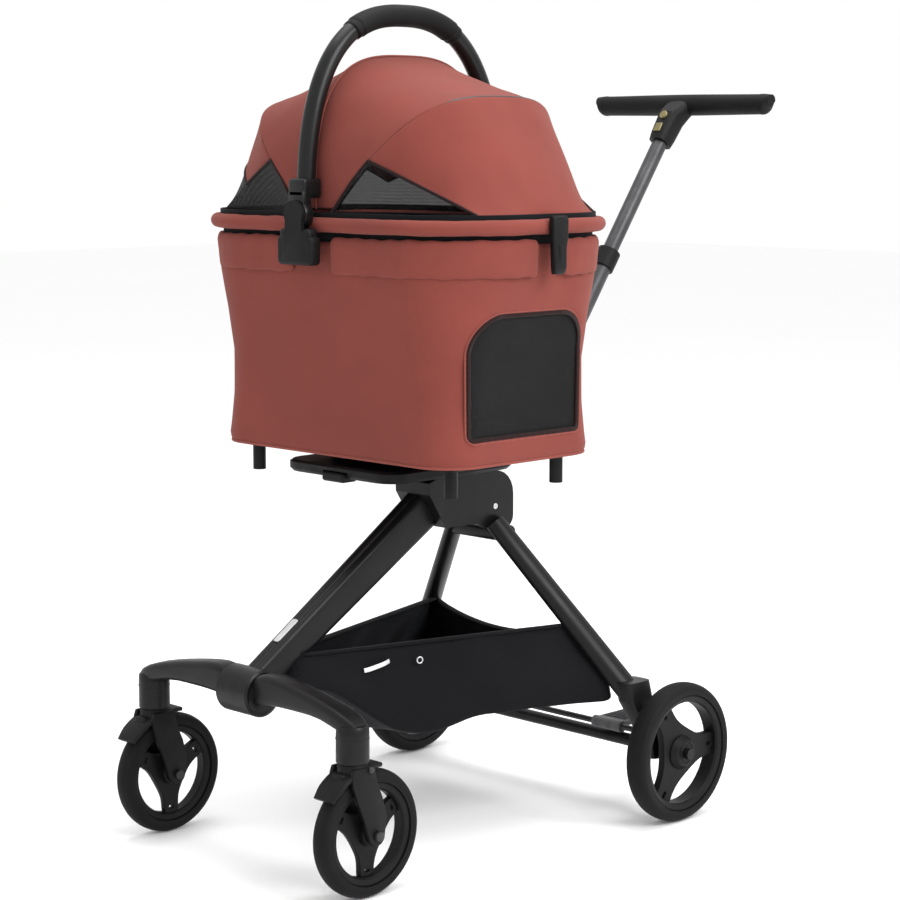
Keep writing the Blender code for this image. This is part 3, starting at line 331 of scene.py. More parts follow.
def makeFinishes():
    clothFinish("terracottaCloth", (0.208, 0.0500, 0.0395), tint=(1.0, 0.78, 0.72, 1))
    clothFinish("terracottaPiping", (0.265, 0.068, 0.054), threads=1300.0, relief=0.6, tint=(1.0, 0.8, 0.75, 1))
    clothFinish("darkBinding", (0.020, 0.008, 0.008), threads=1300.0, relief=0.6, sheen=0.1)
    clothFinish("blackCloth", (0.0070, 0.0070, 0.0082), threads=900.0, sheen=0.05, tint=(0.75, 0.78, 0.85, 1))
    clothFinish("liningCloth", (0.0085, 0.0080, 0.0085), threads=1100.0, sheen=0.03)
    clothFinish("quiltedMat", (0.014, 0.0135, 0.015), threads=700.0, sheen=0.08, relief=0.5)
    meshFinish("blackMesh", (0.0065, 0.0065, 0.0070), opening=0.40)
    meshFinish("windowMesh", (0.0060, 0.0060, 0.0065), opening=0.80, solid=0.97, clear=0.55)
    hardFinish("satinCasting", (0.0060, 0.0060, 0.0066), 0.40, worn=(0.018, 0.018, 0.019), coat=0.08,
               grainScale=1400.0, relief=0.08)
    hardFinish("grainedNylon", (0.0052, 0.0052, 0.0055), 0.50, worn=(0.015, 0.015, 0.016),
               grainScale=1100.0, relief=0.18)
    hardFinish("handleTube", (0.0055, 0.0057, 0.0060), 0.34, worn=(0.018, 0.018, 0.019), coat=0.2,
               grainScale=1800.0, relief=0.05)
    hardFinish("greyAnodised", (0.030, 0.030, 0.033), 0.42, 0.25, worn=(0.07, 0.07, 0.075), grainScale=2400.0,
               relief=0.05, cells=0.1)
    hardFinish("darkAnodised", (0.014, 0.014, 0.015), 0.36, 0.3, worn=(0.06, 0.06, 0.065), grainScale=2200.0,
               relief=0.05, cells=0.1)
    hardFinish("platedSteel", (0.52, 0.52, 0.53), 0.28, 1.0, worn=(0.7, 0.7, 0.7), grainScale=2600.0, relief=0.06)
    hardFinish("softGrip", (0.0055, 0.0055, 0.0058), 0.62, grainScale=2000.0, relief=0.35, cells=0.9)
    hardFinish("tyreRubber", (0.0050, 0.0050, 0.0053), 0.66, grainScale=1500.0, relief=0.3, wearAmount=0.25)
    hardFinish("greyPedal", (0.060, 0.060, 0.064), 0.48, grainScale=1100.0, relief=0.2, worn=(0.3, 0.3, 0.3))
    # light silver: the basket's pale tab, and also the beam's strip, which is a painted highlight
    hardFinish("silverAccent", (0.62, 0.62, 0.63), 0.3, 0.6, worn=(0.8, 0.8, 0.8), relief=0.03)
    hardFinish("brassAccent", (0.20, 0.165, 0.075), 0.34, 0.6, worn=(0.42, 0.36, 0.2), relief=0.03)
    print(len(finishes), "finishes")


# mesh helpers
def weld(bm, gap=0.000005):
    bmesh.ops.remove_doubles(bm, verts=bm.verts, dist=gap)


def skin(rings, closedPath=False, capped=True, cloth=None):
    # a grid bent into a tube through equal rings; cloth is the size of its UV map in metres
    bm = bmesh.new()
    across, around = len(rings) - (0 if closedPath else 1), len(rings[0])
    bmesh.ops.create_grid(bm, x_segments=across, y_segments=around, size=1, calc_uvs=False)
    if cloth:
        mapCloth(bm, cloth)
    for vert in bm.verts:
        i = round((vert.co.x + 1) / 2 * across) % len(rings)
        vert.co = rings[i][round((vert.co.y + 1) / 2 * around) % around]
    weld(bm)
    if capped and not closedPath:
        bmesh.ops.holes_fill(bm, edges=[e for e in bm.edges if e.is_boundary])
    return bm


def mapCloth(bm, cloth):
    layer = bm.loops.layers.uv.new("cloth")
    for face in bm.faces:
        for loop in face.loops:
            loop[layer].uv = ((loop.vert.co.x + 1) / 2 * cloth[0], (loop.vert.co.y + 1) / 2 * cloth[1])


def mapByPlace(bm, first, second):
    # the UV map is two of the piece's own coordinates
    layer = bm.loops.layers.uv.get("cloth") or bm.loops.layers.uv.new("cloth")
    for face in bm.faces:
        for loop in face.loops:
            loop[layer].uv = (loop.vert.co[first], loop.vert.co[second])


def sheetOf(across, up, place, cloth, closed=False):
    # an open sheet: place(u, v) gives each point of a flat grid its position
    bm = bmesh.new()
    bmesh.ops.create_grid(bm, x_segments=across, y_segments=up, size=1, calc_uvs=False)
    mapCloth(bm, cloth)
    for vert in bm.verts:
        vert.co = place((vert.co.x + 1) / 2, (vert.co.y + 1) / 2)
    if closed:
        weld(bm)
    return bm


def frameAlong(path, i, side, closed):
    last = len(path) - 1
    before = path[i - 1] if i > 0 or closed else path[0]
    after = path[(i + 1) % len(path)] if i < last or closed else path[last]
    along = (after - before).normalized()
    across = (side - along * side.dot(along)).normalized()
    return across, along.cross(across)


def sweep(path, section, side=(1, 0, 0), closed=False, scales=None, capped=True, cloth=None):
    path = [Vector(p) for p in path]
    rings = []
    for i, point in enumerate(path):
        across, up = frameAlong(path, i, Vector(side), closed)
        wide, high = scales[i] if scales else (1, 1)
        rings.append([point + across * (u * wide) + up * (v * high) for u, v in section])
    return skin(rings, closed, capped, cloth)


def circle(radius, count=32, squash=1.0):
    return [(radius * math.cos(math.tau * i / count), radius * squash * math.sin(math.tau * i / count))
            for i in range(count)]


def roundRect(halfWide, halfHigh, radii, steps=6):
    # anticlockwise from the right; radii: top right, top left, bottom left, bottom right
    radii = radii if hasattr(radii, "__len__") else (radii,) * 4
    points = []
    for corner, (sx, sy) in enumerate(((1, 1), (-1, 1), (-1, -1), (1, -1))):
        r = radii[corner]
        for step in range(steps + 1):
            angle = math.pi / 2 * (corner + step / steps)
            points.append((sx * (halfWide - r) + r * math.cos(angle), sy * (halfHigh - r) + r * math.sin(angle)))
    return points


def smoothPath(points, steps):
    # a Catmull-Rom curve through a few points
    points = [Vector(p) for p in points]
    ends = [points[0] * 2 - points[1], *points, points[-1] * 2 - points[-2]]
    path = []
    for a, b, c, d in zip(ends, ends[1:], ends[2:], ends[3:]):
        for i in range(steps):
            t = i / steps
            path.append((b * 2 + (c - a) * t + (a * 2 - b * 5 + c * 4 - d) * t * t
                         + (b * 3 - a - c * 3 + d) * t ** 3) / 2)
    return path + [points[-1]]


def turned(profile, centre, axis, steps):
    # a closed profile of (along, radius) spun once round the X or the Z axis
    bm = bmesh.new()
    line, out = (Vector((1, 0, 0)), Vector((0, 0, 1)))[::1 if axis == "X" else -1]
    verts = [bm.verts.new(Vector(centre) + line * a + out * r) for a, r in profile]
    edges = [bm.edges.new((a, b)) for a, b in zip(verts, verts[1:] + verts[:1])]
    bmesh.ops.spin(bm, geom=verts + edges, cent=centre, axis=line, angle=math.tau, steps=steps, use_merge=True)
    weld(bm)
    bmesh.ops.recalc_face_normals(bm, faces=bm.faces)
    return bm


def rounded(bm, edges, bevel, segments=2):
    bmesh.ops.bevel(bm, geom=edges, offset=bevel, segments=segments, profile=0.5, affect="EDGES", material=-1,
                    clamp_overlap=True)


def block(low, high, bevel, segments=3):
    bm = bmesh.new()
    bmesh.ops.create_cube(bm, size=1)
    low, high = Vector(low), Vector(high)
    bmesh.ops.scale(bm, vec=high - low, verts=bm.verts)
    bmesh.ops.translate(bm, vec=(low + high) / 2, verts=bm.verts)
    rounded(bm, bm.edges[:], bevel, segments)
    return bm


def rod(start, end, radius, sides=32, bevel=0.0):
    start, end = Vector(start), Vector(end)
    bm = bmesh.new()
    bmesh.ops.create_cone(bm, cap_ends=True, segments=sides, radius1=radius, radius2=radius,
                          depth=(end - start).length)
    if bevel:
        rounded(bm, [e for e in bm.edges if abs(e.verts[0].co.z - e.verts[1].co.z) < 1e-6], bevel)
    turn = (end - start).to_track_quat("Z", "Y").to_matrix().to_4x4()
    bmesh.ops.transform(bm, matrix=Matrix.Translation((start + end) / 2) @ turn, verts=bm.verts)
    return bm


def crossRod(centre, reach, radius, sides=32, bevel=0.0):
    out = Vector((reach, 0, 0))
    return rod(centre - out, centre + out, radius, sides, bevel)


def plate(outline, thickness, place, bevel):
    # a flat outline pulled up to a thickness, then moved by the matrix
    bm = bmesh.new()
    face = bm.faces.new([bm.verts.new((x, y, -thickness / 2)) for x, y in outline])
    pulled = bmesh.ops.extrude_face_region(bm, geom=[face])["geom"]
    bmesh.ops.translate(bm, vec=(0, 0, thickness), verts=[g for g in pulled if isinstance(g, bmesh.types.BMVert)])
    bmesh.ops.recalc_face_normals(bm, faces=bm.faces)
    rounded(bm, [e for e in bm.edges if e.calc_face_angle(0) > 0.8], bevel)
    bmesh.ops.transform(bm, matrix=place, verts=bm.verts)
    return bm


def joined(whole, *others):
    for bm in others:
        mesh = meshOf("part", bm)
        whole.from_mesh(mesh)
        bpy.data.meshes.remove(mesh)
    return whole


def ruffle(bm, sizes, depth, shift=(0, 0, 0), keep=None):
    # soft creases: each point moves along its normal by a smooth noise, scaled by keep(point)
    bm.normal_update()
    for vert in bm.verts:
        where = Vector(c / size for c, size in zip(vert.co, sizes)) + Vector(shift)
        vert.co += vert.normal * (noise.noise(where) * depth * (keep(vert) if keep else 1))


def faceAlong(bm, toward):
    # all faces agree, and look the way toward(face) is positive
    bmesh.ops.recalc_face_normals(bm, faces=bm.faces)
    if sum(toward(face) for face in bm.faces) < 0:
        bmesh.ops.reverse_faces(bm, faces=bm.faces)


def finishPiece(name, bm, body, finish, stands=(), angle=40, smooth=0, thick=0.0, bevel=0.0, inside=None,
                recalc=True):
    # without a body the piece is left unattached, and the caller bakes its transform
    if recalc:
        bmesh.ops.recalc_face_normals(bm, faces=bm.faces)
    mesh = meshOf(name, bm)
    mesh.shade_smooth()
    mesh.set_sharp_from_angle(angle=math.radians(angle))
    for one in filter(None, (finish, inside)):
        mesh.materials.append(finishes[one])
    piece = newObject(name, mesh)
    if thick:
        wall = piece.modifiers.new("wall", "SOLIDIFY")
        wall.thickness = thick
        wall.offset = -1
        wall.material_offset = 1 if inside else 0
    if bevel:
        edge = piece.modifiers.new("edge", "BEVEL")
        edge.width = bevel
        edge.segments = 2
        edge.limit_method = "ANGLE"
        edge.angle_limit = math.radians(35)
    if smooth:
        fine = piece.modifiers.new("fine", "SUBSURF")
        fine.levels = fine.render_levels = smooth
    if body:
        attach(piece, body)
    if stands:
        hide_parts(*stands)
    return piece


def refined(node, body, finish, slot, bevel, extra=()):
    # a merged copy of a CAD node with its edges rounded
    bm = bmesh.new()
    bm.from_mesh(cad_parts[node].data)
    weld(bm, 0.00002)
    bmesh.ops.dissolve_limit(bm, angle_limit=math.radians(1.5), verts=bm.verts, edges=bm.edges)
    finishPiece(node + "Detail", joined(bm, *extra), body, finish, (node,), bevel=bevel, recalc=False)


# pieces that only need their edges rounded: body, finish, slot, bevel
plainParts = {
    "hub_housing": ("frame", "satinCasting", "casting", 0.0030),
    "carrier_platform": ("frame", "grainedNylon", "moulding", 0.0018),
    "carrier_release_lever": ("release_lever", "grainedNylon", "moulding", 0.0010),
    "leg_hinge_pin": ("frame", "platedSteel", "steel", 0.0006),
    "pole_hinge_pin": ("frame", "platedSteel", "steel", 0.0006),
    "rear_foot_left": ("rear_frame", "satinCasting", "casting", 0.0018),
    "rear_foot_right": ("rear_frame", "satinCasting", "casting", 0.0018),
    "pole_yoke": ("push_bar", "satinCasting", "casting", 0.0014),
    "pole_collar": ("push_bar", "grainedNylon", "moulding", 0.0012),
    "handle_neck": ("push_handle", "grainedNylon", "moulding", 0.0016),
    "release_button": ("release_button", "brassAccent", "steel", 0.0012),
    "height_trigger": ("height_trigger", "brassAccent", "steel", 0.0010),
    "carrier_base": ("carrier", "grainedNylon", "moulding", 0.0012),
    "floor_board": ("carrier", "liningCloth", "black_fabric", 0.0008),
}


# wheels
wheelForms = {
    "front": {"chord": 0.027, "spokeHalf": 0.0105, "firstSpoke": 30, "slot": (0.80, 0.90), "slotHalf": 0.0034,
              "hub": 0.0165, "cap": 0.0150, "web": 0.0090},
    "rear": {"chord": 0.035, "spokeHalf": 0.0148, "firstSpoke": 0, "slot": (0.80, 0.93), "slotHalf": 0.0034,
             "hub": 0.0240, "cap": 0.0185, "web": 0.0110},
}

tyreForm = {"wall": 0.016, "shoulder": 0.0045, "power": 0.72, "groove": 0.0007, "grooveAt": 0.55}


def tyreProfile(half, bead, radius):
    # half of an oval over the bead, with a fine groove either side of the tread
    points = []
    shoulder = bead + tyreForm["shoulder"]
    for i in range(27):
        angle = math.pi * i / 26
        x = -math.cos(angle) * half
        r = shoulder + (radius - shoulder) * abs(math.sin(angle)) ** tyreForm["power"]
        groove = tyreForm["groove"] * math.exp(-((abs(x) / half - tyreForm["grooveAt"]) / 0.05) ** 2)
        points.append((x, r - groove))
    return [(-half * 0.94, bead)] + points + [(half * 0.94, bead)]


def fromSpoke(form, turn):
    # degrees between a direction and the nearest of the three spokes
    return abs((math.degrees(turn) - form["firstSpoke"] + 60) % 120 - 60)


def webRing(form, reach, turn):
    # how far the wheel's web reaches in a direction: a rounded triangle with a spoke at each corner
    off = fromSpoke(form, turn)
    chord = form["chord"] / math.cos(math.radians(60 - off))
    flare = form["spokeHalf"] * (1 + 0.35 * smoothStep(0.6, 1.0, chord / reach))
    spoke = flare / math.sin(math.radians(max(off, 0.5)))
    return min((chord ** 5 + spoke ** 5) ** 0.2, reach)


def wheelRim(form, centre, half, bead):
    inner = bead - 0.0095
    x, y, z = centre
    profile = [(half - 0.003, bead - 0.0004), (half - 0.0022, bead - 0.003), (half - 0.004, inner + 0.001),
               (half - 0.007, inner - 0.001)]
    mirrored = [(-a, r) for a, r in profile]
    barrel = turned([mirrored[0], *profile, *mirrored[:0:-1]], centre, "X", 96)

    def webPoint(u, v):
        turn = math.tau * u
        low = form["hub"] * 0.7
        reach = mix(low, max(webRing(form, inner + 0.002, turn), low + 0.004), v)
        dish = 0.0022 * smoothStep(low, inner, reach)
        return Vector((x + math.copysign(form["web"] / 2 - dish, x),
                       y + reach * math.cos(turn), z + reach * math.sin(turn)))

    web = sheetOf(144, 12, webPoint, (0.3, 0.05), closed=True)
    gone = []
    for face in web.faces:
        spot = face.calc_center_median() - Vector(centre)
        reach = math.hypot(spot.y, spot.z)
        off = math.radians(fromSpoke(form, math.atan2(spot.z, spot.y)))
        if form["slot"][0] < reach / inner < form["slot"][1] and off * reach < form["slotHalf"]:
            gone.append(face)
    bmesh.ops.delete(web, geom=gone, context="FACES")
    faceAlong(web, lambda face: face.normal.x * x)
    return barrel, web


def makeWheel(kind, word):
    form = wheelForms[kind]
    node = f"{kind}_wheel_{word}"
    centre = centreOf(node + "_tyre")
    half, radius = halfOf(node + "_tyre").x, halfOf(node + "_tyre").z
    bead = radius - tyreForm["wall"]
    tyre = turned(tyreProfile(half, bead, radius), centre, "X", 128)
    finishPiece(f"{kind}Tyre_{word}", tyre, node, "tyreRubber", (node + "_tyre",), angle=50)
    barrel, web = wheelRim(form, centre, half, bead)
    finishPiece(f"{kind}WheelWeb_{word}", web, node, "grainedNylon", thick=form["web"],
                bevel=0.0012, recalc=False)
    cap, hub = form["cap"], form["hub"]
    face = half - 0.0008
    boss = turned([(-face, 0.0048), (face, 0.0048), (face, cap * 0.55), (face - 0.0012, cap * 0.62),
                   (face - 0.0012, cap * 0.80), (face - 0.0003, cap * 0.86), (face - 0.0012, cap),
                   (half * 0.45, hub), (-half * 0.45, hub), (-face + 0.0012, cap), (-face, cap * 0.86)],
                  centre, "X", 64)
    finishPiece(f"{kind}WheelRim_{word}", joined(barrel, boss), node, "grainedNylon",
                (node + "_rim",), angle=30)


# casters and the front casting
forkForm = {"cheek": 0.0062, "cheekOut": 0.0190, "eye": 0.0135, "guard": (0.0868, 0.0925), "guardHalf": 0.0205,
            "guardTurn": (82, 142), "trail": 0.0215}


def makeFork(word, body, wheel):
    # a short post over two arms that narrow to the axle, and a small guard over the tyre
    x, y = frontSwivel(word)
    post = turned([(0.1560, 0.0), (0.1560, 0.0185), (0.1590, 0.0200), (0.1768, 0.0200), (0.1782, 0.0190),
                   (0.1782, 0.0)], (x, y, 0), "Z", 64)
    pieces = [post]
    for cheek in (-1, 1):
        outline = [(forkForm["eye"] * math.cos(a), forkForm["eye"] * math.sin(a)) for a in
                   (math.radians(200 + 14 * i) for i in range(11))]
        outline += [(0.0165, 0.022), (0.0100, 0.048), (0.0020, 0.066), (-0.0015, 0.078), (-0.0035, 0.0915),
                    (-0.0385, 0.0915), (-0.0420, 0.082), (-0.0400, 0.070), (-0.0330, 0.050), (-0.0215, 0.022)]
        place = Matrix.Translation((wheel.x + cheek * forkForm["cheekOut"], wheel.y, wheel.z)) @ Matrix(
            ((0, 0, 1, 0), (1, 0, 0, 0), (0, 1, 0, 0), (0, 0, 0, 1)))
        pieces.append(plate(outline, forkForm["cheek"], place, 0.0018))
    rings = []
    low, high = forkForm["guard"]
    for i in range(17):
        angle = math.radians(mix(*forkForm["guardTurn"], i / 16))
        spoke = Vector((0, math.cos(angle), math.sin(angle)))
        wide = forkForm["guardHalf"] * (0.86 + 0.14 * smoothStep(0.0, 0.2, min(i, 16 - i) / 16))
        rings.append([wheel + spoke * ((low + high) / 2 + v) + Vector((u, 0, 0))
                      for u, v in roundRect(wide, (high - low) / 2, 0.0022, 3)])
    pieces.append(skin(rings))
    lug = block((x - 0.0105, y - 0.0270, 0.1490), (x + 0.0105, y - 0.0150, 0.1680), 0.0035, 3)
    finishPiece("casterFork_" + word, joined(*pieces, lug), body, "grainedNylon",
                ("caster_fork_" + word,), angle=40)


def makeCaster(word):
    body = f"caster_{word}"
    wheel = centreOf(f"front_wheel_{word}_tyre")
    makeFork(word, body, wheel)
    axle = centreOf(f"front_axle_{word}")
    reach = halfOf(f"front_axle_{word}").x
    bolt = crossRod(axle, reach - 0.001, 0.0042)
    for end in (-1, 1):
        start, stop = (axle + Vector((end * out, 0, 0)) for out in (reach - 0.0045, reach))
        bolt = joined(bolt, rod(start, stop, 0.0072, 6, 0.0007))
    finishPiece(f"frontAxle_{word}", bolt, body, "darkAnodised", (f"front_axle_{word}",), angle=30)
    dome = turned([(0.0, 0.0042), (0.0026, 0.0040), (0.0038, 0.0022), (0.0040, 0.0), (0.0, 0.0)],
                  (wheel.x + math.copysign(0.0222, wheel.x), wheel.y - 0.012, wheel.z + 0.088), "X", 24)
    finishPiece(f"forkRivet_{word}", dome, body, "darkAnodised", angle=50)


barForm = (   # distance out, top, bottom, depth front to back
    (0.0313, 0.2615, 0.222, 0.036), (0.040, 0.2648, 0.2245, 0.036), (0.052, 0.2660, 0.2262, 0.0355),
    (0.070, 0.2648, 0.2272, 0.0350), (0.090, 0.2622, 0.2275, 0.0345), (0.112, 0.2588, 0.2275, 0.0342),
    (0.134, 0.2550, 0.2272, 0.0345), (0.156, 0.2506, 0.2250, 0.0355), (0.178, 0.2456, 0.2200, 0.0366),
    (0.196, 0.2398, 0.2155, 0.0366), (0.208, 0.2340, 0.2140, 0.0330), (0.2160, 0.2270, 0.2160, 0.0245),
)


def makeFrontBar(word, side):
    rings = []
    middleY = centreOf("front_bar_" + word).y - 0.0002
    for out, top, bottom, depth in barForm:
        outline = roundRect(depth / 2, (top - bottom) / 2, min(0.0092, (top - bottom) * 0.38), 5)
        rings.append([Vector((side * out, middleY + u, (top + bottom) / 2 + v)) for u, v in outline])
    arm = skin(rings)
    x, y = frontSwivel(word)
    socket = turned([(0.1786, 0.0064), (0.1786, 0.0200), (0.1795, 0.0212), (0.2140, 0.0212), (0.2240, 0.0208),
                     (0.2262, 0.0190), (0.2262, 0.0064)], (x, y, 0), "Z", 64)
    seam = turned([(0.2088, 0.0210), (0.2088, 0.02165), (0.2100, 0.02165), (0.2100, 0.0210)], (x, y, 0), "Z", 64)
    finishPiece("frontArm_" + word, joined(arm, socket, seam), "frame", "satinCasting",
                ("front_bar_" + word,), angle=38)


def frontSwivel(word):
    # the wheel trails behind the post's own axis
    return centreOf("caster_fork_" + word).x, centreOf(f"front_wheel_{word}_tyre").y - forkForm["trail"]


def makeFrontEnd():
    knuckle = centreOf("front_knuckle")
    half, radius = halfOf("front_knuckle").x, halfOf("front_knuckle").z
    face = [(half, 0.004), (half, radius * 0.62), (half - 0.0012, radius * 0.70), (half - 0.0012, radius * 0.84),
            (half, radius * 0.90), (half - 0.002, radius)]
    drum = turned([(-a, r) for a, r in face] + face[::-1], knuckle, "X", 96)
    finishPiece("frontDrum", drum, "frame", "satinCasting", ("front_knuckle",), angle=35)
    for word, side in sides:
        makeFrontBar(word, side)
        makeCaster(word)
        makeWheel("front", word)
        makeWheel("rear", word)
    print("front end and wheels")


# the beam, hub and platform
beamForm = {"foot": at(0, -0.290, 0.236), "head": at(0, 0.0244, 0.4386), "corner": 0.0095, "ridge": 0.0011,
            "start": 0.055,
            "sizes": ((0.02, 0.0300, 0.042), (0.35, 0.0310, 0.046), (0.7, 0.0330, 0.051), (1.0, 0.0340, 0.056))}
screwHeads = {   # piece: node, profile of (along, radius)
    "knuckleRivet": ("knuckle_bolt", ((-0.0016, 0.0019), (0.0004, 0.0021), (0.0012, 0.0030), (0.0008, 0.0041),
                                      (-0.0016, 0.0043))),
    "hubScrewHead": ("hub_screw", ((-0.0011, 0.0022), (0.0002, 0.0020), (0.0010, 0.0026), (0.0011, 0.0036),
                                   (0.0002, 0.0045), (-0.0011, 0.0045))),
}


def beamSection(wide, high):
    # a round-cornered box whose front face has a shallow channel between two soft ridges
    outline = roundRect(wide / 2, high / 2, beamForm["corner"], 6)
    edge = wide / 2 - beamForm["corner"]
    row = []
    for i in range(13):
        share = i / 12
        dip = beamForm["ridge"] * (smoothStep(0.10, 0.24, share) - smoothStep(0.76, 0.90, share))
        row.append((mix(edge, -edge, share), high / 2 - dip))
    return outline[:6] + row + outline[8:]


def beamSize(t):
    for (a, *first), (b, *second) in zip(beamForm["sizes"], beamForm["sizes"][1:]):
        if t <= b:
            return [mix(v, w, (t - a) / (b - a)) for v, w in zip(first, second)]
    return beamForm["sizes"][-1][1:]


def makeBeam():
    foot, head = beamForm["foot"], beamForm["head"]
    along = (head - foot).normalized()
    up = Vector((0, -along.z, along.y))
    rings = []
    for i in range(29):
        t = mix(beamForm["start"], 1.0, i / 28)
        rings.append([foot + (head - foot) * t + Vector((u, 0, 0)) + up * v for u, v in beamSection(*beamSize(t))])
    finishPiece("mainBeam", skin(rings), "frame", "satinCasting", ("main_beam",), angle=35)
    # a light metal strip low on the beam's front face: a painted highlight, standing in for the white glint along
    # the beam's edge
    highlightStrip = []
    for share, wide in ((0.19, 0.0035), (0.195, 0.0052), (0.30, 0.0056), (0.305, 0.0035)):
        point = foot + (head - foot) * share + up * (0.0225 + 0.0064 * (share - 0.19))
        highlightStrip.append([point + Vector((u * wide, 0, 0)) + up * v for u, v in
                      ((1, -0.001), (1, 0.0004), (0.8, 0.0007), (-0.8, 0.0007), (-1, 0.0004), (-1, -0.001))])
    finishPiece("beamPaintedHighlight", skin(highlightStrip), "frame", "silverAccent", angle=30)


def makeMiddle():
    makeBeam()
    for node, form in plainParts.items():
        refined(node, *form)
    for name, (node, profile) in screwHeads.items():
        screw = turned(profile, centreOf(node), "X", 32)
        finishPiece(name, screw, "frame", "platedSteel", (node,), angle=50)
    print("beam, hub and plain parts")


# rear legs, feet, axle and brake
legForm = {"top": (0.050, 0.140, 0.396), "bottom": (0.215, 0.226, 0.178), "start": -0.075,
           "topSize": (0.022, 0.032), "bottomSize": (0.026, 0.0375)}
crownForm = {   # half width, front, bottom, back, top, bevel, segments
    "stem": (0.0230, 0.1285, 0.388, 0.1565, 0.434, 0.006, 3),
    "bridge": (0.058, 0.1270, 0.386, 0.1600, 0.408, 0.009, 4),
    "eye": {"place": (0.140, 0.434), "half": 0.0238, "radius": 0.0190},
}


def makeRearFrame():
    for word, side in sides:
        top, bottom = (at(side * x, y, z) for x, y, z in (legForm["top"], legForm["bottom"]))
        path, scales = [], []
        for i in range(17):
            t = mix(legForm["start"], 1.0, i / 16)
            path.append(top + (bottom - top) * t)
            scales.append([mix(a, b, t) for a, b in zip(legForm["topSize"], legForm["bottomSize"])])
        leg = sweep(path, circle(0.5, 48), scales=scales)
        finishPiece("rearLeg_" + word, leg, "rear_frame", "satinCasting", ("rear_leg_" + word,))
    stem, bridge = (block(at(-half, front, bottom), at(half, back, top), *bevel) for
                    half, front, bottom, back, top, *bevel in (crownForm["stem"], crownForm["bridge"]))
    eye = crownForm["eye"]
    eye = crossRod(at(0, *eye["place"]), eye["half"], eye["radius"], 48, 0.001)
    finishPiece("legCrown", joined(stem, eye, bridge), "rear_frame", "satinCasting", ("leg_yoke",),
                angle=35)
    for name, node, body, finish, slot, facets, bevel in (
            ("rearAxleBar", "rear_axle_bar", "rear_frame", "satinCasting", "tube", 40, 0.0),
            ("brakeLink", "brake_link_rod", "brake", "darkAnodised", "steel", 24, 0.0008)):
        half = halfOf(node)
        finishPiece(name, crossRod(centreOf(node), half.x, half.z, facets, bevel), body, finish, (node,))
    low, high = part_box("brake_pedal")
    ribs = []
    for i in range(7):
        y = mix(low.y + 0.022, high.y - 0.008, i / 6)
        ribs.append(block((low.x + 0.006, y, high.z - 0.0014), (high.x - 0.006, y + 0.0022, high.z - 0.0001),
                          0.0005, 2))
    refined("brake_pedal", "brake", "greyPedal", "grey", bevel=0.0012, extra=ribs)
    print("rear frame and brake")


# push bar
poleForm = {"lean": math.radians(35.5), "grip": (0.618, -0.010), "gripRadius": 0.0155}
poleTubes = {   # piece: node, body, start, end, radius, end chamfer
    "poleLower": ("pole_lower_tube", "push_bar", 0.0303, 0.335, 0.0140, 0.0020),
    "poleUpper": ("pole_upper_tube", "push_handle", 0.190, 0.570, 0.0115, 0.0012),
}
poleFoot = at(0, 0.2166, 0.502)


def polePoint(distance, forward=0.0):
    c, s = math.cos(poleForm["lean"]), math.sin(poleForm["lean"])
    return poleFoot + Vector((0, s, c)) * distance + Vector((0, -c, s)) * forward


def makePushBar():
    for name, (node, body, start, end, radius, chamfer) in poleTubes.items():
        small, full = (radius - chamfer,) * 2, (radius,) * 2
        path = [polePoint(start), polePoint(start), polePoint(end), polePoint(end)]
        tube = sweep(path, circle(1, 48), scales=[small, full, full, small], capped=False)
        finishPiece(name, tube, body, "greyAnodised", (node,), angle=30)
    makePushGrip()
    print("push bar")


def makePushGrip():
    # the cross grip: a soft sleeve whose slanted ends rise to small tips
    low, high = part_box("push_grip")
    half = (high.x - low.x) / 2
    centre = polePoint(*poleForm["grip"])
    radius = poleForm["gripRadius"]
    rings = []
    for out in range(-30, 31):
        share = abs(out) / 30
        x = math.copysign(half * (1 - (1 - share) ** 1.6), out) if out else 0.0
        edge = smoothStep(0.90, 1.0, abs(x) / half)
        tip = smoothStep(0.955, 1.0, abs(x) / half)
        size = radius * (1 - 0.10 * edge - 0.30 * tip)
        swell = 1 + 0.035 * math.cos(math.pi * x / half)
        ring = []
        for u, v in circle(size * (swell if edge == 0 else 1), 40):
            slant = v * 0.42 * edge * math.copysign(1, x)
            shift = min(max(x + slant, low.x), high.x)
            ring.append(Vector((shift, centre.y + u, centre.z + v + 0.0050 * tip)))
        rings.append(ring)
    finishPiece("pushGrip", skin(rings), "push_handle", "softGrip", ("push_grip",), angle=50)


# the storage basket, slung between the beam and the rear legs
basketForm = {"levels": ((0.272, -0.208, 0.017, 0.187, 0.134), (0.240, -0.224, 0.022, 0.198, 0.158),
                         (0.200, -0.236, 0.030, 0.212, 0.187), (0.168, -0.232, 0.034, 0.214, 0.196)),
              "wallShare": 0.55, "floorSag": 0.008, "edgeSag": 0.026, "bulge": 0.004, "frontLift": 0.062,
              "liftSpan": (-0.205, -0.095), "belly": 0.016, "bellyPlace": (-0.055, 0.045), "cloth": 0.0016,
              "crease": 0.055, "creaseDepth": 0.0055, "flat": (0.54, 0.46), "area": 0.232}


def basketOutline(level, share):
    # x, y, how far along its side, and whether that side is the rear one
    _, front, frontHalf, back, backHalf = level
    corners = [(-backHalf, back), (backHalf, back), (frontHalf, front), (-frontHalf, front)]
    lengths = [math.dist(a, b) for a, b in zip(corners, corners[1:] + corners[:1])]
    spot = share * sum(lengths)
    for (a, b), length in zip(zip(corners, corners[1:] + corners[:1]), lengths):
        if spot <= length:
            t = spot / length
            return mix(a[0], b[0], t), mix(a[1], b[1], t), t, a[1] == back and b[1] == back
        spot -= length
    return (*corners[0], 0.0, True)


def slung(piece):
    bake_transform(piece)


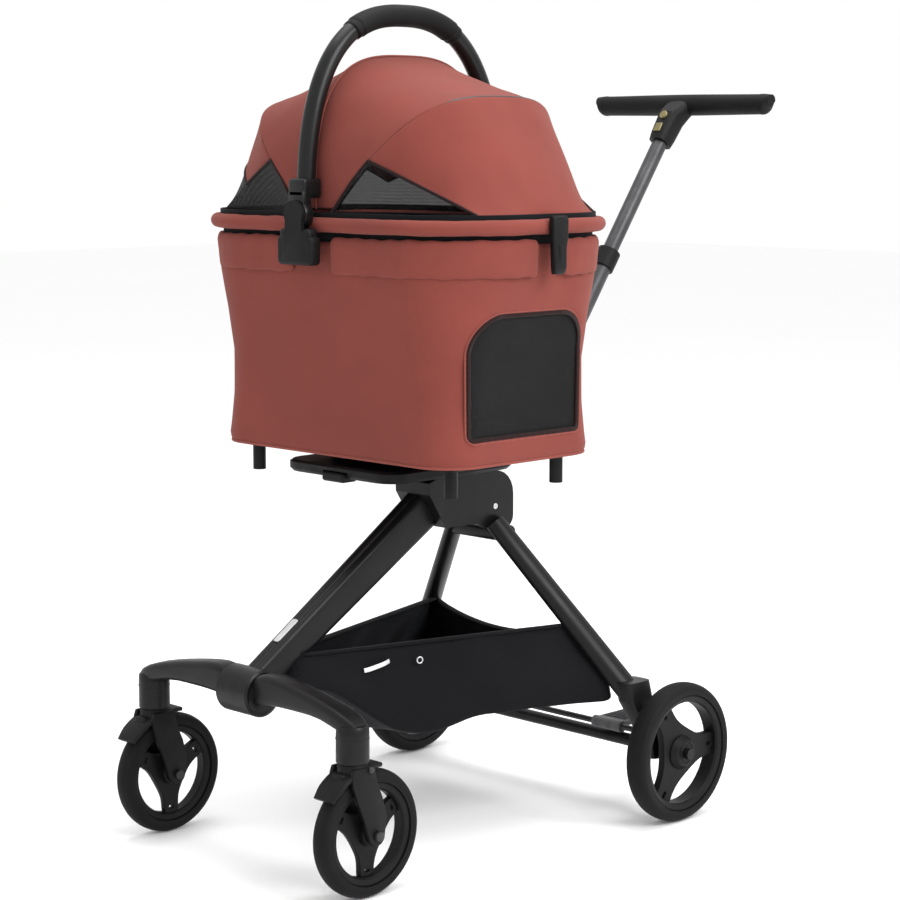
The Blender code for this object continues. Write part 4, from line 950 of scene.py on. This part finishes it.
def makeBasketFittings():
    # a pale webbing loop and a plated eyelet on the side towards the beam
    top, below = basketForm["levels"][:2]
    along = Vector((top[4] - top[2], top[3] - top[1], 0)).normalized()
    out = Vector((along.y, -along.x, 0))

    def onSide(reach, z, proud):
        depth = (top[0] - z) / (top[0] - below[0])
        _, front, frontHalf, back, backHalf = [mix(a, b, depth) for a, b in zip(top, below)]
        return at(mix(frontHalf, backHalf, reach), mix(front, back, reach), z) + out * proud

    ring = [onSide(0.405, 0.2500, 0.0040) + along * u + Vector((0, 0, v)) for u, v in circle(0.0042, 24)]
    eyelet = finishPiece("basketEyelet", sweep(ring, circle(0.0013, 8), side=out, closed=True), None,
                         "platedSteel", angle=60)
    loop = [onSide(reach, z, proud) for reach, z, proud in
            ((0.215, 0.2445, 0.0030), (0.235, 0.2460, 0.0046), (0.275, 0.2500, 0.0050), (0.300, 0.2530, 0.0032))]
    tape = sweep(smoothPath(loop, 6), roundRect(0.0032, 0.0008, 0.0007, 2), side=(0, 0, 1), cloth=(0.03, 0.01))
    tab = finishPiece("basketTab", tape, None, "silverAccent", angle=60)
    for piece in (eyelet, tab):
        slung(piece)


def makeBasket():
    form, levels = basketForm, basketForm["levels"]

    def place(u, v):
        wall = min(v / form["wallShare"], 1.0)
        deep = wall * (len(levels) - 1)
        i = min(int(deep), len(levels) - 2)
        level = [mix(a, b, deep - i) for a, b in zip(levels[i], levels[i + 1])]
        x, y, t, atBack = basketOutline(level, u)
        z = level[0]
        if atBack:
            z -= form["edgeSag"] * abs(math.sin(math.pi * t)) ** 0.7 * max(0.0, 1 - v / 0.5)
        shrink = max(0.0, (v - form["wallShare"]) / (1 - form["wallShare"]))
        middle = (level[1] + level[3]) / 2 + 0.02
        x, y = x * (1 - shrink), mix(y, middle, shrink)
        z -= form["floorSag"] * smoothStep(0, 0.7, shrink)
        z += form["frontLift"] * (1 - smoothStep(*form["liftSpan"], y)) * wall
        z -= form["belly"] * math.exp(-((y - form["bellyPlace"][0]) / form["bellyPlace"][1]) ** 2) * wall
        out = form["bulge"] * math.sin(math.pi * wall) * (1 - shrink)
        return at(x * (1 + out), y, z)

    bm = sheetOf(132, 34, place, (1.2, 0.36), closed=True)
    ruffle(bm, (form["crease"],) * 3, form["creaseDepth"], (3, 3, 3))
    bmesh.ops.smooth_vert(bm, verts=bm.verts, factor=0.5, use_axis_x=True, use_axis_y=True, use_axis_z=True)
    piece = finishPiece("storageBasket", bm, None, "blackCloth", ("storage_basket",), angle=80,
                        thick=form["cloth"], smooth=1)
    slung(piece)
    path = []
    for i in range(120):
        x, y, t, atBack = basketOutline(levels[0], i / 120)
        sag = form["edgeSag"] * math.sin(math.pi * t) ** 0.7 if atBack else 0.0
        path.append(at(x, y, levels[0][0] - sag))
    hem = sweep(path, circle(0.0024, 8, 2.4), side=(0, 0, 1), closed=True, cloth=(1.2, 0.02))
    slung(finishPiece("basketHem", hem, None, "blackCloth", angle=80))
    makeBasketFittings()
    print("storage basket")


# carrier shell, windows and mat
shellForm = {
    "levels": ((0.5315, 0.229, 0.142, 0.052), (0.541, 0.234, 0.146, 0.056), (0.600, 0.231, 0.143, 0.060),
               (0.660, 0.233, 0.145, 0.070), (0.720, 0.243, 0.152, 0.082), (0.775, 0.2590, 0.1627, 0.105),
               (0.816, 0.2612, 0.1632, 0.117)),
    "wall": 0.0028, "columns": 240, "rows": 44, "wrinkle": 0.00256, "flat": (1.40, 0.45), "area": 0.50,
    "window": {"middle": -0.006, "z": 0.6465, "halfWide": 0.100, "halfHigh": 0.0785,
               "radii": (0.046, 0.046, 0.007, 0.007), "netInside": 0.0022, "netSag": 0.003},
}
windowTrims = (   # name, margin, half width, half height, lift, finish
    ("Binding", 0.0006, 0.0030, 0.0011, 0.0004, "darkBinding"),
    ("Piping", 0.0050, 0.0014, 0.0014, 0.0002, "terracottaPiping"),
)


def tubLevel(z):
    levels = shellForm["levels"]
    for low, high in zip(levels, levels[1:]):
        if z <= high[0] or high is levels[-1]:
            t = min(max((z - low[0]) / (high[0] - low[0]), 0.0), 1.0)
            return [mix(a, b, t) for a, b in zip(low[1:], high[1:])]
    return levels[-1][1:]


def ovalTrack(halfX, halfY, corner, share):
    # a point on a rounded rectangle, by its share of the way round from the middle of the +X end
    flatX, flatY, arc = halfX - corner, halfY - corner, math.pi * corner / 2
    spot = (share % 1.0) * 4 * (flatX + flatY + arc)
    legs = ((flatY, halfX, 0, 0, 1), (arc, 1, 1, 0), (2 * flatX, flatX, halfY, -1, 0), (arc, -1, 1, 90),
            (2 * flatY, -halfX, flatY, 0, -1), (arc, -1, -1, 180), (2 * flatX, -flatX, -halfY, 1, 0),
            (arc, 1, -1, 270), (2 * flatY, halfX, -flatY, 0, 1))
    for length, *leg in legs:
        if spot <= length:
            break
        spot -= length
    if len(leg) == 3:
        sx, sy, start = leg
        angle = math.radians(start) + spot / corner
        return sx * flatX + corner * math.cos(angle), sy * flatY + corner * math.sin(angle)
    x, y, dx, dy = leg
    return x + dx * spot, y + dy * spot


def trackPath(halfX, halfY, corner, z, count):
    spots = (ovalTrack(halfX, halfY, corner, i / count) for i in range(count))
    return [Vector((x, carrierY + y, z)) for x, y in spots]


def trackBand(name, track, count, section, cloth, finish, stands=(), creases=None):
    # a piping, tape or roll that runs right round the carrier
    bm = sweep(trackPath(*track, count), section, side=(0, 0, 1), closed=True, cloth=cloth)
    if creases:
        ruffle(bm, *creases)
    finishPiece(name, bm, "carrier", finish, stands, angle=80)


def tubReach(y, z):
    # how far out the end wall stands at a place on it
    halfX, halfY, corner = tubLevel(z)
    over = abs(y - carrierY) - (halfY - corner)
    return halfX if over <= 0 else halfX - corner + math.sqrt(max(corner ** 2 - over ** 2, 0.0))


def windowOutline(margin=0.0, steps=10):
    form = shellForm["window"]
    radii = [r + margin for r in form["radii"]]
    return [(carrierY + form["middle"] + y, form["z"] + z) for y, z in
            roundRect(form["halfWide"] + margin, form["halfHigh"] + margin, radii, steps)]


def insideWindow(y, z, outline):
    inside = False
    for (ay, az), (by, bz) in zip(outline, outline[1:] + outline[:1]):
        if (az > z) != (bz > z) and y < (by - ay) * (z - az) / (bz - az) + ay:
            inside = not inside
    return inside


def nearestOn(outline, y, z):
    best = None
    for (ay, az), (by, bz) in zip(outline, outline[1:] + outline[:1]):
        run = (by - ay) ** 2 + (bz - az) ** 2
        t = min(max(((y - ay) * (by - ay) + (z - az) * (bz - az)) / run, 0.0), 1.0) if run else 0.0
        spot = (mix(ay, by, t), mix(az, bz, t))
        gap = math.dist(spot, (y, z))
        if best is None or gap < best[0]:
            best = (gap, spot)
    return best[1]


def makeShell():
    lowest, highest = shellForm["levels"][0][0], shellForm["levels"][-1][0]

    def place(u, v):
        z = mix(lowest, highest, v)
        x, y = ovalTrack(*tubLevel(z), u)
        return Vector((x, carrierY + y, z))

    bm = sheetOf(shellForm["columns"], shellForm["rows"], place, (1.30, highest - lowest), closed=True)
    faceAlong(bm, lambda face: face.normal.x * face.calc_center_median().x)
    outline = windowOutline()
    gone = [f for f in bm.faces if abs(f.calc_center_median().x) > 0.17
            and insideWindow(f.calc_center_median().y, f.calc_center_median().z, outline)]
    bmesh.ops.delete(bm, geom=gone, context="FACES")
    rims = {v for e in bm.edges if e.is_boundary for v in e.verts if lowest + 0.02 < v.co.z < highest - 0.02}
    for vert in rims:
        y, z = nearestOn(outline, vert.co.y, vert.co.z)
        vert.co = (math.copysign(tubReach(y, z), vert.co.x), y, z)

    def calm(vert):
        if vert in rims or vert.co.z < lowest + 0.004:
            return 0.0
        return smoothStep(lowest, lowest + 0.03, vert.co.z)

    ruffle(bm, (0.09, 0.09, 0.24), shellForm["wrinkle"], (7, 2, 4), calm)
    bottom = [e for e in bm.edges if e.is_boundary and max(v.co.z for v in e.verts) < lowest + 0.01]
    bmesh.ops.holes_fill(bm, edges=bottom)
    for face in bm.faces:
        if face.normal.z > 0.9:
            face.normal_flip()
    shell = finishPiece("carrierShell", bm, "carrier", "terracottaCloth", ("carrier_shell",), angle=60,
                        thick=shellForm["wall"], inside="liningCloth", recalc=False)
    trackBand("shellFootPiping", (0.2298, 0.1428, 0.053, lowest + 0.0016), 200, circle(0.0022, 10), (1.3, 0.014),
              "terracottaPiping")


def makeWindow(side, word):
    form = shellForm["window"]
    middle = carrierY + form["middle"]
    outline = windowOutline(0.002, 14)

    def place(u, v):
        # the netting follows the end wall, a little inside it
        y, z = outline[int(round(u * len(outline))) % len(outline)]
        y, z = mix(middle, y, max(v, 0.02)), mix(form["z"], z, max(v, 0.02))
        return Vector((side * (tubReach(y, z) - form["netInside"] - form["netSag"] * (1 - v)), y, z))

    bm = sheetOf(len(outline), 12, place, (0.5, 0.1), closed=True)
    mapByPlace(bm, 1, 2)
    bmesh.ops.holes_fill(bm, edges=[e for e in bm.edges if e.is_boundary and e.calc_length() < 0.004])
    panel = finishPiece("windowNet_" + word, bm, "carrier", "windowMesh", ("mesh_window_" + word,),
                        angle=80)
    for label, margin, wide, high, lift, finish in windowTrims:
        path = [Vector((side * (tubReach(y, z) + lift), y, z)) for y, z in windowOutline(margin, 16)]
        tape = sweep(path, roundRect(high, wide, min(high, wide) * 0.9, 3), side=(side, 0, 0), closed=True,
                     cloth=(0.7, 0.02))
        finishPiece(f"window{label}_{word}", tape, "carrier", finish, angle=80)


matForm = {"half": (0.213, 0.123), "corner": 0.045, "low": 0.5402, "thick": 0.0185, "pressure": 4.0,
           "proud": 0.006, "voxel": 0.006, "steps": 20, "quilt": 0.07, "seam": 0.006, "seamDepth": 0.0026}


def makeMat():
    low = matForm["low"]
    rings = []
    for z, inset in ((0.0, 0.006), (0.004, 0.0012), (0.0095, 0.0), (0.0145, 0.0012), (matForm["thick"], 0.006)):
        outline = roundRect(matForm["half"][0] - inset, matForm["half"][1] - inset, matForm["corner"] - inset, 6)
        rings.append([Vector((x, carrierY + y, low + z)) for x, y in outline])
    bm = skin(rings)
    bmesh.ops.recalc_face_normals(bm, faces=bm.faces)
    mat = newObject("petMat", meshOf("petMat", bm))
    remesh = mat.modifiers.new("even", "REMESH")
    remesh.mode = "VOXEL"
    remesh.voxel_size = matForm["voxel"]
    applyModifiers(mat)
    rest = [v.co.copy() for v in mat.data.vertices]
    puff = mat.modifiers.new("cloth", "CLOTH")
    puff.settings.use_pressure = True
    puff.settings.uniform_pressure_force = matForm["pressure"]
    puff.settings.effector_weights.gravity = 0
    for number in range(1, matForm["steps"] + 1):
        bpy.context.scene.frame_set(number)
    applyModifiers(mat)
    bpy.context.scene.frame_set(1)
    for vert, before in zip(mat.data.vertices, rest):
        move = vert.co - before
        if move.length > matForm["proud"]:
            move *= matForm["proud"] / move.length
        if before.z > low + matForm["thick"] * 0.7:
            fromSeam = abs((before.x + matForm["quilt"] / 2) % matForm["quilt"] - matForm["quilt"] / 2)
            channel = matForm["seamDepth"] * max(0.0, 1 - fromSeam / matForm["seam"])
            move.z = min(move.z, matForm["proud"]) - channel
        vert.co = before + move
        vert.co.z = max(vert.co.z, low)
    bm = bmesh.new()
    bm.from_mesh(mat.data)
    mapByPlace(bm, 0, 1)
    bpy.data.objects.remove(mat)
    piece = finishPiece("petMatPad", bm, "carrier", "quiltedMat", ("pet_mat",), angle=180,
                        smooth=1, recalc=False)
    print("pet mat")


def applyModifiers(piece):
    bpy.context.view_layer.update()
    shaped = piece.evaluated_get(bpy.context.evaluated_depsgraph_get())
    piece.data = bpy.data.meshes.new_from_object(shaped)
    piece.modifiers.clear()


# rims and latches
rimForm = {"cuff": (0.2645, 0.166, 0.122), "cuffZ": 0.7992, "cuffTall": 1.10,
           "upper": (0.268, 0.1695, 0.122, 0.838), "upperRadius": 0.0098, "zip": (0.2595, 0.161, 0.114, 0.8235),
           "top": (0.2635, 0.165, 0.1175, 0.8492),
           "bracketGap": 0.0365, "latchGap": 0.0185}


# outside to the left: a soft roll at the top over a skirt that tucks in below
cuffSection = (
    (0.0010, -0.0225), (0.0035, -0.0215), (0.0050, -0.012), (0.0058, 0.0), (0.0060, 0.010), (0.0052, 0.0170),
    (0.0028, 0.0205), (0.0, 0.0215), (-0.0030, 0.0208), (-0.0055, 0.0175), (-0.0066, 0.0120), (-0.0058, 0.006),
    (-0.0050, 0.0), (-0.0042, -0.010), (-0.0030, -0.0200), (-0.0012, -0.0225),
)


def makeCuff(index, sx, sy):
    # one of the four soft rolls between the latches and the handle's mounts
    halfX, halfY, corner = rimForm["cuff"]
    quarter = (halfY - corner) + math.pi * corner / 2 + (halfX - corner)
    total = 4 * quarter
    first, last = rimForm["latchGap"] / total, (quarter - rimForm["bracketGap"]) / total
    path, scales = [], []
    count = 72
    for i in range(count + 1):
        x, y = ovalTrack(halfX, halfY, corner, mix(first, last, i / count))
        wave = 0.0007 * math.sin(i * 0.9 + index) + 0.0010 * noise.noise(Vector((i * 0.21, index, 0.0)))
        path.append(Vector((sx * x, carrierY + sy * y, rimForm["cuffZ"] + wave)))
        edge = min(min(i, count - i) / count * (last - first) * total / 0.009, 1.0)
        curl = math.sqrt(edge * (2 - edge))
        scales.append((max(curl, 0.25), (0.80 + 0.20 * curl) * rimForm["cuffTall"]))
    rings = []
    for i, (point, (wide, tall)) in enumerate(zip(path, scales)):
        along = (path[min(i + 1, count)] - path[max(i - 1, 0)]).normalized()
        out = Vector((along.y, -along.x, 0)) * (sx * sy)
        rings.append([point - out * (u * wide) + Vector((0, 0, v * tall)) for u, v in cuffSection])
    bm = skin(rings, cloth=(0.36, 0.10))
    ruffle(bm, (0.030, 0.030, 0.060), 0.0012, (index * 3.1,) * 3)
    finishPiece(f"rimCuff_{index}", bm, "carrier", "terracottaCloth",
                ("lower_rim_cuff",) if index == 0 else (), angle=80, smooth=1)


def makeRims():
    for index, (sx, sy) in enumerate(((1, 1), (-1, 1), (-1, -1), (1, -1))):
        makeCuff(index, sx, sy)
    trackBand("upperRimCover", rimForm["upper"], 220, circle(rimForm["upperRadius"], 20), (1.46, 0.062),
              "terracottaCloth", ("upper_rim",), ((0.022, 0.022, 0.022), 0.0007, (9, 9, 9)))
    for name, track, half, width in (("rimZipTape", "zip", 0.019, 0.04), ("rimTopTape", "top", 0.0050, 0.012)):
        trackBand(name, rimForm[track], 200, roundRect(half, 0.0012, 0.0010, 2), (1.4, width), "blackCloth")
    for word, _ in sides:
        makeLatch(word)
    print("rims and latches")


latchForm = (   # share of the height, share of the width, how far set in
    (0.0, 0.62, 0.0030), (0.03, 0.70, 0.0012), (0.12, 0.78, 0.0), (0.45, 0.86, 0.0012), (0.62, 1.0, 0.0004),
    (0.93, 1.0, 0.0), (1.0, 0.94, 0.0022),
)


def makeLatch(word):
    # a tapering strap with a hooked head, a pressed rib and a finger lip at its foot
    low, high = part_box("rim_latch_" + word)
    side = 1 if high.x > 0 else -1
    inner, outer = (low.x, high.x) if side > 0 else (high.x, low.x)
    middle, half = (low.y + high.y) / 2, (high.y - low.y) / 2
    rings = []
    for share, wide, inset in latchForm:
        z = mix(low.z, high.z, share)
        thick = abs(outer - inner) / 2 - inset / 2
        x = (inner + outer) / 2 - side * inset / 2
        rings.append([Vector((x + u, middle + v, z)) for u, v in roundRect(thick, half * wide, 0.0024, 3)])
    head = block((min(inner, outer) + 0.0006, middle - half * 0.55, high.z - 0.012),
                 (max(inner, outer) - 0.0001, middle + half * 0.55, high.z - 0.0005), 0.0020, 3)
    rib = block((min(outer, outer - side * 0.002), middle - 0.0030, mix(low.z, high.z, 0.16)),
                (max(outer, outer - side * 0.002) - 0.00005, middle + 0.0030, mix(low.z, high.z, 0.50)), 0.0008, 2)
    finishPiece("rimLatch_" + word, joined(skin(rings), head, rib), "latch_" + word, "grainedNylon",
                ("rim_latch_" + word,), angle=38)


# hood
hoodForm = {"lean": 46, "footX": 0.030, "footZ": 0.858, "span": 0.1592, "centreRise": 0.2002, "sideRise": 0.2092,
            "shoulder": 3.0, "peak": 0.092, "rim": (0.2635, 0.165, 0.1175), "rimZ": 0.853, "flapFoot": 0.246,
            "valley": 0.004, "flapPuff": 0.004, "netBelow": 0.50, "wall": 0.0012, "blendReach": 0.115,
            "wire": {"span": 0.155, "side": 0.205, "centre": 0.196, "radius": 0.0038}}


def archOf(share, span, rise, shoulder):
    # along and up on a square-shouldered arch, by the share of its sweep
    c, s = math.cos(math.pi * share), abs(math.sin(math.pi * share))
    return -span * math.copysign(abs(c) ** (2 / shoulder), c), rise * s ** (2 / shoulder)


def bowPoint(share, lean, rise, footX, span=hoodForm["span"]):
    along, high = archOf(share, span, rise, hoodForm["shoulder"])
    return Vector((footX + high * math.sin(lean), carrierY + along, hoodForm["footZ"] + high * math.cos(lean)))


def sideBow(share, side):
    return bowPoint(share, side * math.radians(hoodForm["lean"]), hoodForm["sideRise"], side * hoodForm["footX"])


def hoodTop(share, across, side):
    # stretched straight from the centre bow to the side bow, with a slight valley between
    ruled = bowPoint(share, 0.0, hoodForm["centreRise"], 0.0).lerp(sideBow(share, side), across)
    valley = hoodForm["valley"] * math.sin(math.pi * across) * math.sin(math.pi * share)
    return ruled - Vector((side * 0.25, 0, 1)) * valley


def flapFoot(share, side):
    # round the end of the rim, from one side of the flap to the other
    halfX, halfY, corner = hoodForm["rim"]
    straight = (halfY - corner) * 2
    angle = math.acos(min((hoodForm["flapFoot"] - (halfX - corner)) / corner, 1.0))
    arc = angle * corner
    spot = share * (straight + 2 * arc)
    if arc <= spot < arc + straight:
        x, y = halfX, spot - arc - straight / 2
    else:
        end = -1 if spot < arc else 1
        turn = spot / corner - angle if end < 0 else (spot - arc - straight) / corner
        x, y = halfX - corner + corner * math.cos(turn), end * (halfY - corner) + corner * math.sin(turn)
    return Vector((side * x, carrierY + y, hoodForm["rimZ"]))


def flapPoint(share, down, side):
    top = sideBow(mix(hoodForm["peak"], 1 - hoodForm["peak"], share), side)
    out = Vector((side * 0.72, (share - 0.5) * 0.9, 0.45)).normalized()
    swell = hoodForm["flapPuff"] * math.sin(math.pi * down) * (0.35 + 0.65 * math.sin(math.pi * share))
    return top.lerp(flapFoot(share, side), down) + out * swell


def gussetPoint(across, up, side, end):
    # the see-through triangle between the side bow's leg, the flap's edge and the rim
    share = hoodForm["peak"] * up
    low = Vector((side * 0.036, carrierY + end * hoodForm["rim"][1], hoodForm["rimZ"]))
    leg = low.lerp(sideBow(share if end < 0 else 1 - share, side), smoothStep(0.0, 0.5, up))
    edge = flapPoint(0.0 if end < 0 else 1.0, 1 - up, side)
    return leg.lerp(edge, across) - Vector((0, end * 0.0035 * math.sin(math.pi * across) * (1 - up), 0))


def hoodBody(side):
    return "hood_right" if side > 0 else "hood_left"


def hoodBlend(piece, side):
    start = sideBow(0.5, side)
    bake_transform(piece)


def topBlend(piece, side):
    reach = abs(sideBow(hoodForm["peak"], side).x)
    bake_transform(piece)


def hoodCloth(name, bm, stands, toward, sizes, depth, shift, low):
    # a stretched panel, creased everywhere but at its edges and below the height low
    faceAlong(bm, toward)
    ruffle(bm, sizes, depth, shift,
           lambda vert: 0.0 if vert.is_boundary else smoothStep(low, low + 0.08, vert.co.z))
    return finishPiece(name, bm, None, "terracottaCloth", stands, angle=80, thick=hoodForm["wall"],
                       smooth=1, recalc=False)


def makeHoodNet(name, bm, side, finish):
    net = finishPiece(name, bm, None, finish, angle=80)
    hoodBlend(net, side)


def makeHoodSide(side, word):
    top = hoodCloth("hoodTop_" + word, sheetOf(84, 22, lambda u, v: hoodTop(u, v, side), (0.56, 0.20)),
                    ("canopy_top",) if side > 0 else (), lambda face: face.normal.z,
                    (0.05, 0.07, 0.05), 0.0020, (0, 0, 0), 0.87)
    topBlend(top, side)
    # the left flap ends halfway down, over a net
    lowest = 1.0 if side > 0 else hoodForm["netBelow"]
    bm = sheetOf(84, 26, lambda u, v: flapPoint(u, v * lowest, side), (0.44, 0.17 * lowest))
    flap = hoodCloth("hoodFlap_" + word, bm, ("hood_end_" + word,), lambda face: face.normal.x * side,
                     (0.05, 0.05, 0.09), 0.0030, (4, 1, side), 0.0)
    hoodBlend(flap, side)
    for label, end in ends:
        bm = sheetOf(30, 20, lambda u, v: gussetPoint(u, v, side, end), (0.17, 0.09))
        weld(bm, 0.00002)
        mapByPlace(bm, 0, 2)
        makeHoodNet(f"hoodNet_{word}_{label}", bm, side, "blackMesh" if side > 0 else "windowMesh")
    if lowest < 1:
        bm = sheetOf(84, 16, lambda u, v: flapPoint(u, mix(lowest, 1.0, v), side), (0.46, 0.08))
        mapByPlace(bm, 1, 2)
        makeHoodNet(f"hoodNet_{word}_end", bm, side, "windowMesh")
    makeHoodTrim(side, word, lowest)
    makeBow("hood_bow_" + word, hoodBody(side), side)


def makeBow(node, body, side):
    wire = hoodForm["wire"]
    path = [bowPoint(i / 60, math.radians(hoodForm["lean"]) * side, wire["side" if side else "centre"],
                     hoodForm["footX"] * side, wire["span"]) for i in range(61)]
    finishPiece(node + "Wire", sweep(path, circle(wire["radius"], 16)), body, "darkAnodised", (node,),
                angle=60)


def hoodBinding(name, path, radius, up, cloth, side):
    bind = sweep(path, circle(radius, 10), side=up, cloth=cloth)
    hoodBlend(finishPiece(name, bind, None, "darkBinding", angle=80), side)


def makeHoodTrim(side, word, lowest):
    for label, end in ends:
        edge = [flapPoint(max(end, 0), i / 24 * lowest, side) for i in range(25)]
        hoodBinding(f"flapBinding_{word}_{label}", edge, 0.0021, (0, 1, 0.2), (0.17, 0.013), side)
        leg = [gussetPoint(0.0, i / 24, side, end) for i in range(25)]
        hoodBinding(f"legBinding_{word}_{label}", leg, 0.0019, (0, 1, 0.2), (0.09, 0.012), side)
    if lowest < 1:
        hem = [flapPoint(i / 60, lowest, side) for i in range(61)]
        hoodBinding("flapHem_" + word, hem, 0.0021, (0, 0, 1), (0.4, 0.013), side)


def makeHood():
    for word, side in sides:
        makeHoodSide(side, word)
    makeBow("hood_bow_centre", "carrier", 0)
    ridge = [bowPoint(i / 80, 0.0, hoodForm["centreRise"] + 0.0006, 0.0) for i in range(81)]
    finishPiece("hoodRidge", sweep(ridge, circle(0.0014, 10), cloth=(0.5, 0.01)), "carrier",
                "terracottaPiping", angle=80)
    print("hood")


# carry handle
handleForm = {"span": 0.1765, "rise": 0.260, "shoulder": 2.5, "pivotZ": 0.852, "radius": 0.0125,
              "gripHalf": 0.095, "grip": (0.0172, 0.0148), "foot": 0.022, "knuckle": (0.0035, 0.0180, 0.0195)}
# the two parts of each mount: half width, bottom, top
mountForm = {"plinth": (0.0340, 0.7860, 0.8240), "collar": (0.0290, 0.8150, 0.8340), "depth": (0.1800, 0.1998)}


def handlePoint(share):
    along, high = archOf(share, handleForm["span"], handleForm["rise"], handleForm["shoulder"])
    return Vector((0, carrierY + along, handleForm["pivotZ"] + high))


def makeCarryHandle():
    pivot, span = handleForm["pivotZ"], handleForm["span"]
    low = pivot + handleForm["foot"]
    arch = [p for p in (handlePoint(i / 120) for i in range(1, 120)) if p.z > low + 0.02]
    path = [Vector((0, carrierY - span, low)), *arch, Vector((0, carrierY + span, low))]
    tube = sweep(path, circle(handleForm["radius"], 32))
    lumps = []
    start, stop, radius = handleForm["knuckle"]
    for end in (-1, 1):
        y = carrierY + end * span
        near, far = sorted((y + end * start, y + end * stop))
        lumps.append(rod((0, near, pivot), (0, far, pivot), radius, 48, 0.0016))
        inner, outer = sorted((y - end * 0.014, y + end * 0.018))
        lumps.append(block((-0.0158, inner, pivot + 0.0205), (0.0158, outer, pivot + 0.046), 0.0042, 4))
        lumps.append(block((-0.0150, near, pivot + 0.002), (0.0150, far, pivot + 0.030), 0.0015, 2))
    finishPiece("carryHandle", joined(tube, *lumps), "carry_handle", "handleTube", ("carry_handle",),
                angle=38)
    grip = [p for p in (handlePoint(i / 400) for i in range(401)) if abs(p.y - carrierY) < handleForm["gripHalf"]]
    wide, high = handleForm["grip"]
    scales = []
    for i in range(len(grip)):
        edge = min(i, len(grip) - 1 - i) / (len(grip) - 1) * 2 * handleForm["gripHalf"]
        step = 0.82 + 0.10 * smoothStep(0.0, 0.002, edge) + 0.08 * smoothStep(0.010, 0.014, edge)
        scales.append((wide * step, high * step))
    sleeve = sweep(grip, circle(1.0, 40), scales=scales)
    finishPiece("carryGrip", sleeve, "carry_handle", "softGrip", ("carry_grip",), angle=45)
    for word, end in ends:
        near, far = sorted(carrierY + end * out for out in mountForm["depth"])
        added = [block((-half, near, bottom), (half, far, top), 0.0060, 4)
                 for half, bottom, top in (mountForm["plinth"], mountForm["collar"])]
        refined("handle_mount_" + word, "carrier", "grainedNylon", "moulding", 0.0020, added)
    print("carry handle")


def makeCarrier():
    makeShell()
    for word, side in sides:
        makeWindow(side, word)
    makeMat()
    makeRims()
    makeHood()
    makeCarryHandle()
    print("carrier")


makeFinishes()
makeFrontEnd()
makeMiddle()
makeRearFrame()
makePushBar()
makeBasket()
makeCarrier()
setStage()
